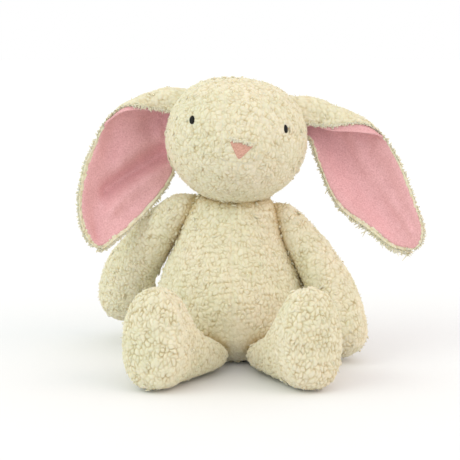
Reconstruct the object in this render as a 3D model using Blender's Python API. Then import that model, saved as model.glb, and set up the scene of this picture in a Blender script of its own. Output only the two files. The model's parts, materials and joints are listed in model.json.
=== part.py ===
"""A seated stuffed rabbit in curly pile fabric, about 230 mm tall, as separate sewn and stuffed pieces.

Frame: metres, +Z up, the rabbit looks along -Y, its own left side is +X.
The origin is the middle of the flat seat, on the surface that the rabbit sits on.
"""

import math

import bpy
from mathutils import Matrix, Vector

MM = 0.001

# Fabric and sewing
PILE = 4.0 * MM  # backing and pile of the curly fabric
LINING = 1.2 * MM  # smooth fabric inside the ears
GAP = 0.4 * MM  # between pieces that are sewn face to face
FILL_GAP = 0.6 * MM  # between a cover and its stuffing

# Torso: height, then stations of (height, half width, half depth, centre in Y)
TORSO_HEIGHT = 124 * MM
TORSO_STATIONS = (
    (0, 46, 42, 4),
    (4, 54, 49, 2),
    (14, 61, 55, 0),
    (30, 65, 58, 0),
    (50, 63.5, 57.5, 0),
    (70, 57, 52, 1),
    (90, 47, 43, 3),
    (108, 40, 35, 3),
    (118, 34, 29, 3),
    (124, 22, 18, 3),
)
TORSO_ROWS = (0, 4, 12, 21, 32, 43, 55, 68, 81, 94, 106, 114, 120, 124)
TORSO_COLUMNS = 40
POUCH_TOP = 21 * MM
SEAT_FIT = 0.985
POUCH_FIT = 0.94  # of the room inside the covers

# Neck
NECK_CENTRE = Vector((0, 3 * MM, 125 * MM))
NECK_RADIUS = 12 * MM
NECK_TOP = 125.2 * MM

# Head: an ovoid, wider than tall, tilted to its own left and turned a little
HEAD_CENTRE = Vector((3.3 * MM, -6 * MM, 178.7 * MM))
HEAD_HALF = Vector((58.5 * MM, 51 * MM, 51.5 * MM))
HEAD_ROLL = math.radians(6)
HEAD_TURN = math.radians(3.5)
HEAD_ROWS = 12
HEAD_COLUMNS = 24
MUZZLE_HEIGHT = -8 * MM
MUZZLE_PUSH = 4 * MM
MUZZLE_RADIUS = 26 * MM
NOSE_HALF_WIDTH = 9.5 * MM
NOSE_TOP = 4.5 * MM
NOSE_TIP = -9.5 * MM
NOSE_THICKNESS = 1.2 * MM
NOSE_RISE = 0.9 * MM  # of the back of the nose above the smooth face
EYE_PLACES = {"eye_left": (34.6 * MM, 16.2 * MM), "eye_right": (-38.4 * MM, 16.6 * MM)}
EYE_HALF = (2.5 * MM, 3.75 * MM)
EYE_DOME = 1.6 * MM

# Arms: shoulder first, then the middle of the arm, with its radius
ARM_COLUMNS = 14
ARM_LEFT = (
    (46.5, 0, 116.5, 12.5),
    (62, -6, 98, 15.5),
    (75.5, -14, 77, 18),
    (86, -23, 52, 21),
    (90, -30, 25, 23.5),
)
ARM_RIGHT = (
    (-46.5, 3, 119, 13),
    (-64, 13, 101, 17),
    (-76.5, 25, 82, 20.5),
    (-88, 38, 61, 23.5),
    (-92.5, 47, 40, 25),
)

# Legs: hip ball, then stations of (distance from the hip, half width, lowest, highest)
HIP = Vector((31 * MM, -50 * MM, 24.5 * MM))
HIP_RADIUS = 22.5 * MM
LEG_SPLAY = math.radians(23)
LEG_COLUMNS = 16
LEG_STATIONS = (
    (20, 22.5, 2, 48),
    (37, 22.5, 1, 45),
    (50, 23.5, 0.4, 57),
    (60, 24.5, 0.4, 75),
    (71, 24, 1, 80),
    (79, 18.5, 8, 72),
    (82, 9.5, 20, 60),
)
SOLE_LEAN_START = 38 * MM
SOLE_LEAN = 0.08
HIP_POCKET = 24.8 * MM  # the torso keeps this far from the hip ball, and below it

# Ears: rows from the root to the tip of (inner edge, outer edge, lip length, cup depth)
EAR_LEFT = (
    ((63, 5, 188), (53, 9, 217), 38, 2),
    ((69, 2, 166), (84, 9, 207), 31, 5),
    ((77, -2, 143), (113, 5, 193), 16, 8),
    ((89, -7, 122.5), (134, -4, 163), 3, 8),
    ((111, -12, 106), (150.5, -11, 122), 0, 5),
    ((125, -14, 96), (155, -14, 104), 0, 3),
    ((136, -15, 89), (151, -15, 89), 0, 1),
)
EAR_RIGHT = (
    ((-57, 7, 196), (-37, 9, 219), 35, 2),
    ((-51, 14, 173), (-66, 9, 214), 28, 5),
    ((-48, 17, 151), (-93, 3, 202), 13, 9),
    ((-62, 2, 129), (-116, -7, 165), 3, 10),
    ((-84, -12, 107), (-123.5, -14, 131), 0, 6),
    ((-97, -16, 97), (-120.5, -17, 107), 0, 3),
    ((-104, -17, 91), (-112, -17, 91), 0, 1),
)
EAR_FOLD_RADIUS = 7 * MM
EAR_LEAST_LIP = 4.5 * MM
EAR_CLEARANCE = 1.0 * MM  # from the head
EAR_GAP = 1.2 * MM  # between the two fabrics
EAR_ROWS = 13
EAR_BLADE_COLUMNS = 6
EAR_LIP_COLUMNS = 5
EAR_HINGES = {
    "left": Vector((51 * MM, 2 * MM, 220 * MM)),
    "right": Vector((-35 * MM, 2 * MM, 224 * MM)),
}

# Tail
TAIL_CENTRE = Vector((0, 71 * MM, 25 * MM))
TAIL_RADIUS = 17 * MM
TAIL_COLUMNS = 14
TAIL_ROWS = 8

COLOURS = {
    "pile": (0.78, 0.72, 0.55),
    "lining": (0.76, 0.38, 0.40),
    "nose": (0.75, 0.42, 0.36),
    "eye": (0.012, 0.013, 0.012),
    "stuffing": (0.90, 0.90, 0.88),
    "pouch": (0.82, 0.80, 0.74),
}


# ---------------------------------------------------------------- helpers


def hermite(stations, x):
    """Smooth value at x through (x, values...) stations, as a list of numbers."""
    last = len(stations) - 2
    k = 0
    while k < last and x > stations[k + 1][0]:
        k += 1
    x0, x1 = stations[k][0], stations[k + 1][0]
    t = min(max((x - x0) / (x1 - x0), 0), 1)
    out = []
    for n in range(1, len(stations[0])):
        y0, y1 = stations[k][n], stations[k + 1][n]
        slope = (y1 - y0) / (x1 - x0)
        before = slope
        after = slope
        if k > 0:
            before = (slope + (y0 - stations[k - 1][n]) / (x0 - stations[k - 1][0])) / 2
        if k < last:
            after = (slope + (stations[k + 2][n] - y1) / (stations[k + 2][0] - x1)) / 2
        width = x1 - x0
        out.append(
            (2 * t**3 - 3 * t**2 + 1) * y0
            + (t**3 - 2 * t**2 + t) * width * before
            + (3 * t**2 - 2 * t**3) * y1
            + (t**3 - t**2) * width * after
        )
    return out


def make_material(name):
    """A plain dull fabric in one colour."""
    material = bpy.data.materials.new(name)
    material.use_nodes = True
    shader = material.node_tree.nodes["Principled BSDF"]
    shader.inputs["Base Color"].default_value = (*COLOURS[name], 1)
    shader.inputs["Roughness"].default_value = 0.35 if name == "eye" else 0.95
    shader.inputs["Metallic"].default_value = 0
    return material


def make_object(name, points, faces, colour, pivot):
    """One mesh object from world points, hung on the pivot of the body it moves with."""
    mesh = bpy.data.meshes.new(name)
    mesh.from_pydata([point - pivot.location for point in points], [], faces)
    mesh.materials.append(MATERIALS[colour])
    mesh.shade_smooth()
    mesh.set_sharp_from_angle(angle=math.radians(50))
    obj = bpy.data.objects.new(name, mesh)
    obj.parent = pivot
    bpy.context.scene.collection.objects.link(obj)
    return obj


def make_pivot(name, place):
    """An empty on a joint's axis, which the pieces of one moving body hang on."""
    pivot = bpy.data.objects.new("pivot_" + name, None)
    pivot.location = place
    pivot.empty_display_size = 0.01
    bpy.context.scene.collection.objects.link(pivot)
    return pivot


def split_quad(a, b, c, d, row, column):
    """Two triangles for one cell, with the diagonals alternating."""
    if (row + column) % 2:
        return [(a, b, c), (a, c, d)]
    return [(a, b, d), (b, c, d)]


def tube_faces(rows, columns, region):
    """Faces of a closed-round grid in the cells region(row, column) accepts; -1 and rows - 1 are caps."""
    faces = []
    for row in range(rows - 1):
        for column in range(columns):
            if region(row, column):
                right = (column + 1) % columns
                low, high = row * columns, (row + 1) * columns
                faces += split_quad(low + column, low + right, high + right, high + column, row, column)
    if region(-1, 0):
        faces.append(tuple(reversed(range(columns))))
    if region(rows - 1, 0):
        faces.append(tuple((rows - 1) * columns + column for column in range(columns)))
    return faces


def sheet_faces(rows, columns):
    """Faces of an open grid."""
    faces = []
    for row in range(rows - 1):
        for column in range(columns - 1):
            low, high = row * columns + column, (row + 1) * columns + column
            faces += split_quad(low, low + 1, high + 1, high, row, column)
    return faces


def seam_edges(faces):
    """Directed edges that only one of the faces uses."""
    edges = set()
    for face in faces:
        edges.update(zip(face, face[1:] + face[:1]))
    return [edge for edge in edges if (edge[1], edge[0]) not in edges]


def make_shell(name, faces, outer, inner, colour, pivot):
    """A closed sewn panel: outer and inner faces and the rim along its seams, pulled in by half a gap."""
    seams = seam_edges(faces)
    pulls = {edge[0]: Vector() for edge in seams}
    for face in faces:
        middle = sum((outer[index] for index in face), Vector()) / len(face)
        for index in face:
            if index in pulls:
                pulls[index] += middle - outer[index]
    for index, pull in pulls.items():
        pulls[index] = pull.normalized() * GAP * 0.7 if pull.length else pull
    used = sorted({index for face in faces for index in face})
    place = {index: number for number, index in enumerate(used)}
    count = len(used)
    points = [outer[index] + pulls.get(index, Vector()) for index in used]
    points += [inner[index] + pulls.get(index, Vector()) for index in used]
    built = [tuple(place[index] for index in face) for face in faces]
    built += [tuple(place[index] + count for index in reversed(face)) for face in faces]
    for a, b in sorted(seams):
        a, b = place[a], place[b]
        built.append((b, a, a + count, b + count))
    return make_object(name, points, built, colour, pivot)


def make_loft(name, rings, colour, pivot):
    """A closed solid through rings of points."""
    columns = len(rings[0])
    faces = tube_faces(len(rings), columns, lambda row, column: True)
    return make_object(name, [point for ring in rings for point in ring], faces, colour, pivot)


def flatten(rings):
    """All points of a list of rings in one list."""
    return [point for ring in rings for point in ring]


# ---------------------------------------------------------------- torso


def clear_scale(point, axis_point, depth):
    """The share of the way from the torso's axis to the point that keeps clear of the limbs' pockets."""
    scale = 1.0
    while scale > 0.3 and min_clearance(axis_point.lerp(point, scale)) < depth:
        scale -= 0.01
    return scale


def min_clearance(point):
    """Distance from the point to the nearest limb pocket beside the torso."""
    distances = []
    for side in (-1, 1):
        hip = Vector((side * HIP.x, HIP.y, HIP.z))
        across = Vector((point.x - hip.x, point.y - hip.y, max(point.z - hip.z, 0)))
        distances.append(across.length - HIP_POCKET)
        x, y, z, radius = ARM_LEFT[0] if side > 0 else ARM_RIGHT[0]
        distances.append((point - Vector((x, y, z)) * MM).length - (radius + 2.2) * MM)
    distances.append((point - TAIL_CENTRE).length - TAIL_RADIUS - 1.2 * MM)
    return min(distances)


def torso_ring(height, depth, scale=1.0):
    """One level ring of the torso, at a height in mm and a depth inside its outer surface."""
    half_width, half_depth, middle = (value * MM for value in hermite(TORSO_STATIONS, height))
    level = depth + height * MM / TORSO_HEIGHT * (TORSO_HEIGHT - 2 * depth)
    axis_point = Vector((0, middle, level))
    points = []
    for column in range(TORSO_COLUMNS):
        angle = 2 * math.pi * column / TORSO_COLUMNS - math.pi / 2
        out = Vector(((half_width - depth) * math.cos(angle), (half_depth - depth) * math.sin(angle), 0))
        points.append(axis_point + out)
    pulls = [clear_scale(point, axis_point, depth) for point in points]
    ring = []
    for column, point in enumerate(points):
        pull = min(pulls[column - 1], pulls[column], pulls[(column + 1) % TORSO_COLUMNS])
        ring.append(axis_point.lerp(point, pull * scale))
    return ring


def seat_points(depth):
    """Two rings of the flat seat, inside the seam that joins it to the body panels."""
    return torso_ring(0, depth, 0.45) + torso_ring(0, depth, SEAT_FIT)


def build_torso(pivot):
    """Four body panels, the flat seat, the stuffing and the bean pouch in the seat."""
    outer = flatten([torso_ring(height, 0) for height in TORSO_ROWS])
    inner = flatten([torso_ring(height, PILE) for height in TORSO_ROWS])
    rows = len(TORSO_ROWS)
    quarter = TORSO_COLUMNS // 4
    names = ("torso_front_left", "torso_back_left", "torso_back_right", "torso_front_right")
    for part, name in enumerate(names):

        def region(row, column, part=part):
            return -1 < row < rows - 1 and column // quarter == part

        make_shell(name, tube_faces(rows, TORSO_COLUMNS, region), outer, inner, "pile", pivot)
    seat_faces = tube_faces(2, TORSO_COLUMNS, lambda row, column: row < 1)
    make_shell("seat_panel", seat_faces, seat_points(0), seat_points(PILE), "pile", pivot)

    fill_depth = PILE + FILL_GAP
    fill_heights = [height for height in TORSO_ROWS if height * MM > POUCH_TOP]
    pouch_heights = [height for height in TORSO_ROWS if height * MM <= POUCH_TOP]
    # two rings below the shared heights keep the facets' diagonals in step with the covers'
    fill = [torso_ring(POUCH_TOP / MM + rise, fill_depth) for rise in (1, 6)]
    fill += [torso_ring(height, fill_depth) for height in fill_heights]
    make_loft("torso_filling", fill, "stuffing", pivot)
    pouch = [torso_ring(height, fill_depth, POUCH_FIT) for height in pouch_heights]
    make_loft("seat_bean_pouch", pouch, "pouch", pivot)


def build_neck(pivot):
    """The plug of stuffing in the neck opening."""
    bottom = TORSO_HEIGHT - PILE + 0.8 * MM
    levels = (
        (bottom, 0.82),
        (bottom + 1.2 * MM, 1.0),
        (NECK_TOP - 1.6 * MM, 1.0),
        (NECK_TOP, 0.7),
    )
    rings = [round_ring(NECK_CENTRE, level, NECK_RADIUS * part) for level, part in levels]
    make_loft("neck_filling", rings, "stuffing", pivot)


def round_ring(centre, level, radius, columns=20):
    """A level circle of points."""
    ring = []
    for column in range(columns):
        angle = 2 * math.pi * column / columns
        around = Vector((radius * math.cos(angle), radius * math.sin(angle), 0))
        ring.append(Vector((centre.x, centre.y, level)) + around)
    return ring


def tail_rings(depth):
    """Rings of the ball of the tail from its bottom to its top, without the two poles."""
    radius = TAIL_RADIUS - depth
    rings = []
    for row in range(TAIL_ROWS):
        angle = math.pi * (row + 0.5) / TAIL_ROWS
        level = TAIL_CENTRE.z - radius * math.cos(angle)
        rings.append(round_ring(TAIL_CENTRE, level, radius * math.sin(angle), TAIL_COLUMNS))
    return rings


def build_tail(pivot):
    """A small round tail: a gathered cover, open where its thread draws it shut, and its stuffing."""
    faces = tube_faces(TAIL_ROWS, TAIL_COLUMNS, lambda row, column: row > -1)
    make_shell("tail_cover", faces, flatten(tail_rings(0)), flatten(tail_rings(PILE)), "pile", pivot)
    make_loft("tail_filling", tail_rings(PILE + FILL_GAP), "stuffing", pivot)


# ---------------------------------------------------------------- head


def head_turn():
    """The head's rotation on the neck at rest."""
    return Matrix.Rotation(HEAD_TURN, 3, "Z") @ Matrix.Rotation(HEAD_ROLL, 3, "Y")


def head_local(point):
    """Size of a world point against the head's ovoid: 1 on its surface, more outside."""
    local = head_turn().transposed() @ (point - HEAD_CENTRE)
    return math.sqrt(sum((local[n] / HEAD_HALF[n]) ** 2 for n in range(3)))


def clear_of_head(point, margin):
    """The point, moved out from the head's centre until it clears the ovoid by the margin."""
    wanted = 1 + margin / HEAD_HALF.y
    size = head_local(point)
    if size >= wanted:
        return point
    return HEAD_CENTRE + (point - HEAD_CENTRE) * (wanted / size)


def head_point(direction, depth):
    """A point of the head in a local direction, with the muzzle pushed forward."""
    half = HEAD_HALF - Vector((depth, depth, depth))
    local = Vector((direction.x * half.x, direction.y * half.y, direction.z * half.z))
    muzzle = Vector((0, -HEAD_HALF.y, MUZZLE_HEIGHT))
    near = math.exp(-(((local - muzzle).length / MUZZLE_RADIUS) ** 2))
    local.y -= MUZZLE_PUSH * near
    return HEAD_CENTRE + head_turn() @ local


def head_rings(depth):
    """Rings around the left-right axis, from the rabbit's right to its left."""
    rings = []
    for row in range(HEAD_ROWS + 1):
        polar = min(max(math.pi * row / HEAD_ROWS, 0.11), math.pi - 0.11)
        ring = []
        for column in range(HEAD_COLUMNS):
            angle = 2 * math.pi * column / HEAD_COLUMNS
            back, up = math.cos(angle), math.sin(angle)
            direction = Vector((-math.cos(polar), math.sin(polar) * back, math.sin(polar) * up))
            ring.append(head_point(direction, depth))
        rings.append(ring)
    return rings


def face_point(across, up, proud):
    """A point on the face at local offsets across and up, standing proud of the surface."""
    x, z = across / HEAD_HALF.x, up / HEAD_HALF.z
    direction = Vector((x, -math.sqrt(max(1 - x * x - z * z, 0)), z))
    return head_point(direction, -proud)


def build_head(pivot):
    """Two side panels, the gusset from the nose over the top to the nape, and the stuffing."""
    outer = flatten(head_rings(0))
    inner = flatten(head_rings(PILE))
    rows = HEAD_ROWS + 1
    middle = HEAD_ROWS // 2
    nape, nose = -1, HEAD_COLUMNS // 2 + 1

    def in_gusset(row, column):
        over_the_top = nape < column < nose or column == HEAD_COLUMNS + nape
        return row in (middle - 1, middle) and over_the_top

    regions = {
        "head_gusset": in_gusset,
        "head_side_right": lambda row, column: row < middle and not in_gusset(row, column),
        "head_side_left": lambda row, column: row >= middle and not in_gusset(row, column),
    }
    for name, region in regions.items():
        make_shell(name, tube_faces(rows, HEAD_COLUMNS, region), outer, inner, "pile", pivot)
    make_loft("head_filling", head_rings(PILE + FILL_GAP), "stuffing", pivot)
    build_nose(pivot)
    for name, place in EYE_PLACES.items():
        build_eye(name, place, pivot)


def build_nose(pivot):
    """A rounded triangle of felt, point down, on the front of the muzzle."""
    rings = []
    corners = (
        Vector((-NOSE_HALF_WIDTH, NOSE_TOP)),
        Vector((NOSE_HALF_WIDTH, NOSE_TOP)),
        Vector((0, NOSE_TIP)),
    )
    middle = sum(corners, Vector((0, 0))) / 3
    outline = []
    steps = 5
    for number, corner in enumerate(corners):
        nearer = corners[(number + 1) % 3]
        for step in range(steps):
            side = corner.lerp(nearer, (step + 0.5) / steps)
            pull = 0.10 * (2 * abs((step + 0.5) / steps - 0.5)) ** 3
            outline.append(side.lerp(middle, pull))
    for size, share in ((1, 0), (1, 0.6), (0.75, 1)):
        proud = NOSE_RISE + NOSE_THICKNESS * share
        flat = [middle + (point - middle) * size for point in outline]
        rings.append([face_point(point.x, point.y, proud) for point in flat])
    columns = len(outline)
    points = flatten(rings)
    faces = tube_faces(len(rings), columns, lambda row, column: True)
    make_object("nose", points, [tuple(reversed(face)) for face in faces], "nose", pivot)


def build_eye(name, place, pivot):
    """A small domed oval of satin stitches."""
    rings = []
    columns = 12
    for size, proud in ((1, 0.3 * MM), (0.95, EYE_DOME * 0.55), (0.6, EYE_DOME)):
        ring = []
        for column in range(columns):
            angle = 2 * math.pi * column / columns
            across = place[0] + EYE_HALF[0] * size * math.cos(angle)
            up = place[1] + EYE_HALF[1] * size * math.sin(angle)
            ring.append(face_point(across, up, proud))
        rings.append(ring)
    faces = tube_faces(len(rings), columns, lambda row, column: True)
    make_object(name, flatten(rings), faces, "eye", pivot)


# ---------------------------------------------------------------- ears


def ear_row(stations, position):
    """Inner edge, outer edge, lip length and cup depth at a position from 0 at the root to 1 at the tip."""
    flat = []
    for number, (inner, outer, lip, cup) in enumerate(stations):
        flat.append((number / (len(stations) - 1), *inner, *outer, lip, cup))
    values = [value * MM for value in hermite(flat, position)]
    return Vector(values[0:3]), Vector(values[3:6]), max(values[6], EAR_LEAST_LIP), values[7]


def ear_sheet(stations):
    """The surface between the two fabrics of an ear: a cupped blade, its outer edge folded into a lip."""
    forward = Vector((0, -1, 0))
    rows = []
    for row in range(EAR_ROWS):
        position = math.sin(math.pi / 2 * (row / (EAR_ROWS - 1)) ** 1.08)
        inner, outer, lip, cup = ear_row(stations, position)
        rise = (outer - inner).normalized()
        fold = min(lip, math.pi * EAR_FOLD_RADIUS)
        top = outer - rise * EAR_FOLD_RADIUS * min(fold / (0.5 * math.pi * EAR_FOLD_RADIUS), 1)
        line = []
        for column in range(EAR_BLADE_COLUMNS):
            t = column / EAR_BLADE_COLUMNS
            bowl = 4 * t * (1 - t) * cup
            line.append(inner.lerp(top, t) - forward * bowl)
        for column in range(EAR_LIP_COLUMNS + 1):
            run = lip * column / EAR_LIP_COLUMNS
            bend = min(run / EAR_FOLD_RADIUS, math.pi)
            straight = max(run - math.pi * EAR_FOLD_RADIUS, 0)
            point = top + rise * EAR_FOLD_RADIUS * math.sin(bend)
            point += forward * EAR_FOLD_RADIUS * (1 - math.cos(bend))
            line.append(point - rise * straight)
        rows.append(line)
    return rows


def sheet_normals(sheet, flip):
    """Unit normals of a grid of points, towards the outer fabric."""
    rows, columns = len(sheet), len(sheet[0])
    normals = []
    for row in range(rows):
        line = []
        for column in range(columns):
            along = sheet[min(row + 1, rows - 1)][column] - sheet[max(row - 1, 0)][column]
            across = sheet[row][min(column + 1, columns - 1)] - sheet[row][max(column - 1, 0)]
            line.append(along.cross(across).normalized() * flip)
        normals.append(line)
    return normals


def build_ear(side, stations, pivot):
    """The curly outer fabric of one ear and the smooth lining that faces forward."""
    sheet = [[clear_of_head(point, EAR_CLEARANCE * 3) for point in line] for line in ear_sheet(stations)]
    flip = -1 if side == "left" else 1
    normals = sheet_normals(sheet, flip)
    faces = sheet_faces(EAR_ROWS, EAR_BLADE_COLUMNS + EAR_LIP_COLUMNS + 1)
    if side == "right":
        faces = [tuple(reversed(face)) for face in faces]

    offsets = (EAR_GAP / 2 + PILE * 0.75, EAR_GAP / 2, -EAR_GAP / 2, -EAR_GAP / 2 - LINING)
    layers = [[], [], [], []]
    for line, line_normals in zip(sheet, normals):
        for point, normal in zip(line, line_normals):
            stack = [point + normal * offset for offset in offsets]
            moves = [clear_of_head(place, EAR_CLEARANCE) - place for place in stack]
            move = max(moves, key=lambda vector: vector.length)
            for layer, place in zip(layers, stack):
                layer.append(place + move)
    make_shell("ear_%s_outer" % side, faces, layers[0], layers[1], "pile", pivot)
    make_shell("ear_%s_lining" % side, faces, layers[2], layers[3], "lining", pivot)


# ---------------------------------------------------------------- limbs


def path_frame(path, radius_at, row):
    """Centre, radius and two cross directions of a limb at one row of its path."""
    before = path[max(row - 1, 0)]
    after = path[min(row + 1, len(path) - 1)]
    along = (after - before).normalized()
    across = along.cross(Vector((0, 1, 0))).normalized()
    return path[row], radius_at[row], along, across, along.cross(across)


def arm_rings(stations, depth):
    """Rings of one arm: a ball round the shoulder's axis, the widening arm, and a round hand."""
    count = 7
    path, radii = [], []
    table = [(number / (len(stations) - 1), *values) for number, values in enumerate(stations)]
    for row in range(count):
        x, y, z, radius = hermite(table, row / (count - 1))
        path.append(Vector((x, y, z)) * MM)
        radii.append(radius * MM)
    rings = []
    start, radius, along, across, other = path_frame(path, radii, 0)
    for polar in (18, 45, 70):
        angle = math.radians(polar)
        centre = start - along * (radius - depth) * math.cos(angle)
        rings.append(limb_ring(centre, across, other, (radius - depth) * math.sin(angle)))
    for row in range(count):
        centre, radius, along, across, other = path_frame(path, radii, row)
        rings.append(limb_ring(centre, across, other, radius - depth))
    end, radius, along, across, other = path_frame(path, radii, count - 1)
    for polar in (65, 42, 18):
        angle = math.radians(polar)
        centre = end + along * (radius - depth) * math.cos(angle)
        rings.append(limb_ring(centre, across, other, (radius - depth) * math.sin(angle)))
    return rings


def limb_ring(centre, across, other, radius):
    """A round ring in the plane of two directions."""
    ring = []
    for column in range(ARM_COLUMNS):
        angle = 2 * math.pi * column / ARM_COLUMNS
        ring.append(centre + across * radius * math.cos(angle) + other * radius * math.sin(angle))
    return ring


def build_halves(names, rings_at, columns, colour, pivot):
    """Two half covers of one limb, with the seams along its sides."""
    outer = rings_at(0)
    rows = len(outer)
    half = columns // 2
    for part, name in enumerate(names):

        def region(row, column, part=part):
            if row in (-1, rows - 1):
                return part == 0
            return column // half == part

        faces = tube_faces(rows, columns, region)
        make_shell(name, faces, flatten(outer), flatten(rings_at(PILE)), colour, pivot)


def build_arm(side, stations, pivot):
    """One arm: front and back covers and stuffing."""
    names = ("arm_%s_front" % side, "arm_%s_back" % side)
    build_halves(names, lambda depth: arm_rings(stations, depth), ARM_COLUMNS, "pile", pivot)
    make_loft("arm_%s_filling" % side, arm_rings(stations, PILE + FILL_GAP), "stuffing", pivot)


def leg_rings(side, depth):
    """Rings of one leg: the hip ball, the short leg, and the tall foot with its sole facing forward."""
    hip = Vector((side * HIP.x, HIP.y, HIP.z))
    along = Vector((side * math.sin(LEG_SPLAY), -math.cos(LEG_SPLAY), 0))
    across = Vector((math.cos(LEG_SPLAY), side * math.sin(LEG_SPLAY), 0))
    rings = []
    ball = HIP_RADIUS - depth
    for polar in (15, 40, 65, 90):
        angle = math.radians(polar)
        radius = ball * math.sin(angle)
        rings.append(leg_ring(hip - along * ball * math.cos(angle), along, across, radius, radius, 0))
    for distance, half_width, low, high in LEG_STATIONS:
        distance, half_width, low, high = (value * MM for value in (distance, half_width, low, high))
        inward = depth * min(max((distance - 50 * MM) / (27 * MM), 0), 1)
        lean = SOLE_LEAN * min(max((distance - SOLE_LEAN_START) / (20 * MM), 0), 1)
        centre = hip + along * (distance - inward)
        centre.z = (low + high) / 2
        rings.append(leg_ring(centre, along, across, half_width - depth, (high - low) / 2 - depth, lean))
    return rings


def leg_ring(centre, along, across, half_width, half_height, lean):
    """An oval ring across the leg, its top leaning back towards the hip."""
    ring = []
    for column in range(LEG_COLUMNS):
        angle = 2 * math.pi * column / LEG_COLUMNS + math.pi / 2
        up = half_height * math.sin(angle)
        point = centre + across * half_width * math.cos(angle) + Vector((0, 0, up))
        ring.append(point - along * lean * up)
    return ring


def build_leg(name, side, pivot):
    """One leg: inner and outer covers, the oval sole of the foot, and stuffing."""
    outer = leg_rings(side, 0)
    inner = leg_rings(side, PILE)
    rows = len(outer)
    half = LEG_COLUMNS // 2
    sole_row = rows - 3
    halves = ("inner", "outer") if side > 0 else ("outer", "inner")

    for part, half_name in enumerate(halves):

        def region(row, column, part=part):
            if row == -1:
                return part == 0
            return row < sole_row and column // half == part

        faces = tube_faces(rows, LEG_COLUMNS, region)
        make_shell("leg_%s_%s" % (name, half_name), faces, flatten(outer), flatten(inner), "pile", pivot)
    faces = tube_faces(rows, LEG_COLUMNS, lambda row, column: row >= sole_row)
    make_shell("foot_%s_sole" % name, faces, flatten(outer), flatten(inner), "pile", pivot)
    make_loft("leg_%s_filling" % name, leg_rings(side, PILE + FILL_GAP), "stuffing", pivot)


# ---------------------------------------------------------------- assembly


for old in list(bpy.data.objects):
    bpy.data.objects.remove(old, do_unlink=True)

MATERIALS = {name: make_material(name) for name in COLOURS}

torso_pivot = make_pivot("torso", Vector((0, 0, 0)))
neck_pivot = make_pivot("neck", NECK_CENTRE)
head_pivot = make_pivot("head", NECK_CENTRE)

build_torso(torso_pivot)
build_tail(torso_pivot)
build_neck(neck_pivot)
build_head(head_pivot)
for ear_side, ear_stations in (("left", EAR_LEFT), ("right", EAR_RIGHT)):
    build_ear(ear_side, ear_stations, make_pivot("ear_" + ear_side, EAR_HINGES[ear_side]))
for arm_side, arm_stations in (("left", ARM_LEFT), ("right", ARM_RIGHT)):
    build_arm(arm_side, arm_stations, make_pivot("arm_" + arm_side, Vector(arm_stations[0][:3]) * MM))
for leg_side, leg_sign in (("left", 1), ("right", -1)):
    hip_place = Vector((leg_sign * HIP.x, HIP.y, HIP.z))
    build_leg(leg_side, leg_sign, make_pivot("leg_" + leg_side, hip_place))

bpy.context.view_layer.update()
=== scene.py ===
"""Looks of a seated stuffed rabbit: curly cream pile, smooth pink ear linings, stitched eyes and nose.

Frame: metres, +Z up, the rabbit looks along -Y, its own left side is +X.
"""

import json
import math
from types import SimpleNamespace

import bpy
import numpy as np
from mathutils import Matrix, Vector
from mathutils.bvhtree import BVHTree
from mathutils.kdtree import KDTree


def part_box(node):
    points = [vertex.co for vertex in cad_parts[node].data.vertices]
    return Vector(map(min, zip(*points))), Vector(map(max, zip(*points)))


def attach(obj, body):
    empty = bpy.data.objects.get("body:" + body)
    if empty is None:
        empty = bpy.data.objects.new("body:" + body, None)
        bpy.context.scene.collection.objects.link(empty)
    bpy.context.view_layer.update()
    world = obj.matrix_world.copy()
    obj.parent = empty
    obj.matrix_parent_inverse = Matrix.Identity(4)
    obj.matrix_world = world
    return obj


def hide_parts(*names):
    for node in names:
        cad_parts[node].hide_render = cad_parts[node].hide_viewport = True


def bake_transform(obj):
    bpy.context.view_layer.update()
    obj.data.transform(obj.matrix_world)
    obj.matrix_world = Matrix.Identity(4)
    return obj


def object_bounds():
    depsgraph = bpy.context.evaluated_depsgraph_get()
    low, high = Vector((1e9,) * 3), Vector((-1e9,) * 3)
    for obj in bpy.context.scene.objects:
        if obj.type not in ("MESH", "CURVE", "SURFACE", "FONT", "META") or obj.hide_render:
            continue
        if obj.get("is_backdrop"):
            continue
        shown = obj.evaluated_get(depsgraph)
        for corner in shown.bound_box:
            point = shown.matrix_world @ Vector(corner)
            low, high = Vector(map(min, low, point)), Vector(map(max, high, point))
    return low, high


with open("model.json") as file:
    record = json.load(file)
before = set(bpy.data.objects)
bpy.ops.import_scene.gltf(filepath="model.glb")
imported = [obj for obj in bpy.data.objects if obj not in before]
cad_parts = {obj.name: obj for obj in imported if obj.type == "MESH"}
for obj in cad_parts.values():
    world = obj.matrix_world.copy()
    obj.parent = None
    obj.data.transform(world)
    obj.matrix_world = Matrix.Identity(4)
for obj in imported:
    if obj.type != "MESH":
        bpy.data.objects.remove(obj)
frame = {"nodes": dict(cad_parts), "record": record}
cad_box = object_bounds()

MM = 0.001
X, Y, Z = np.eye(3)

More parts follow.
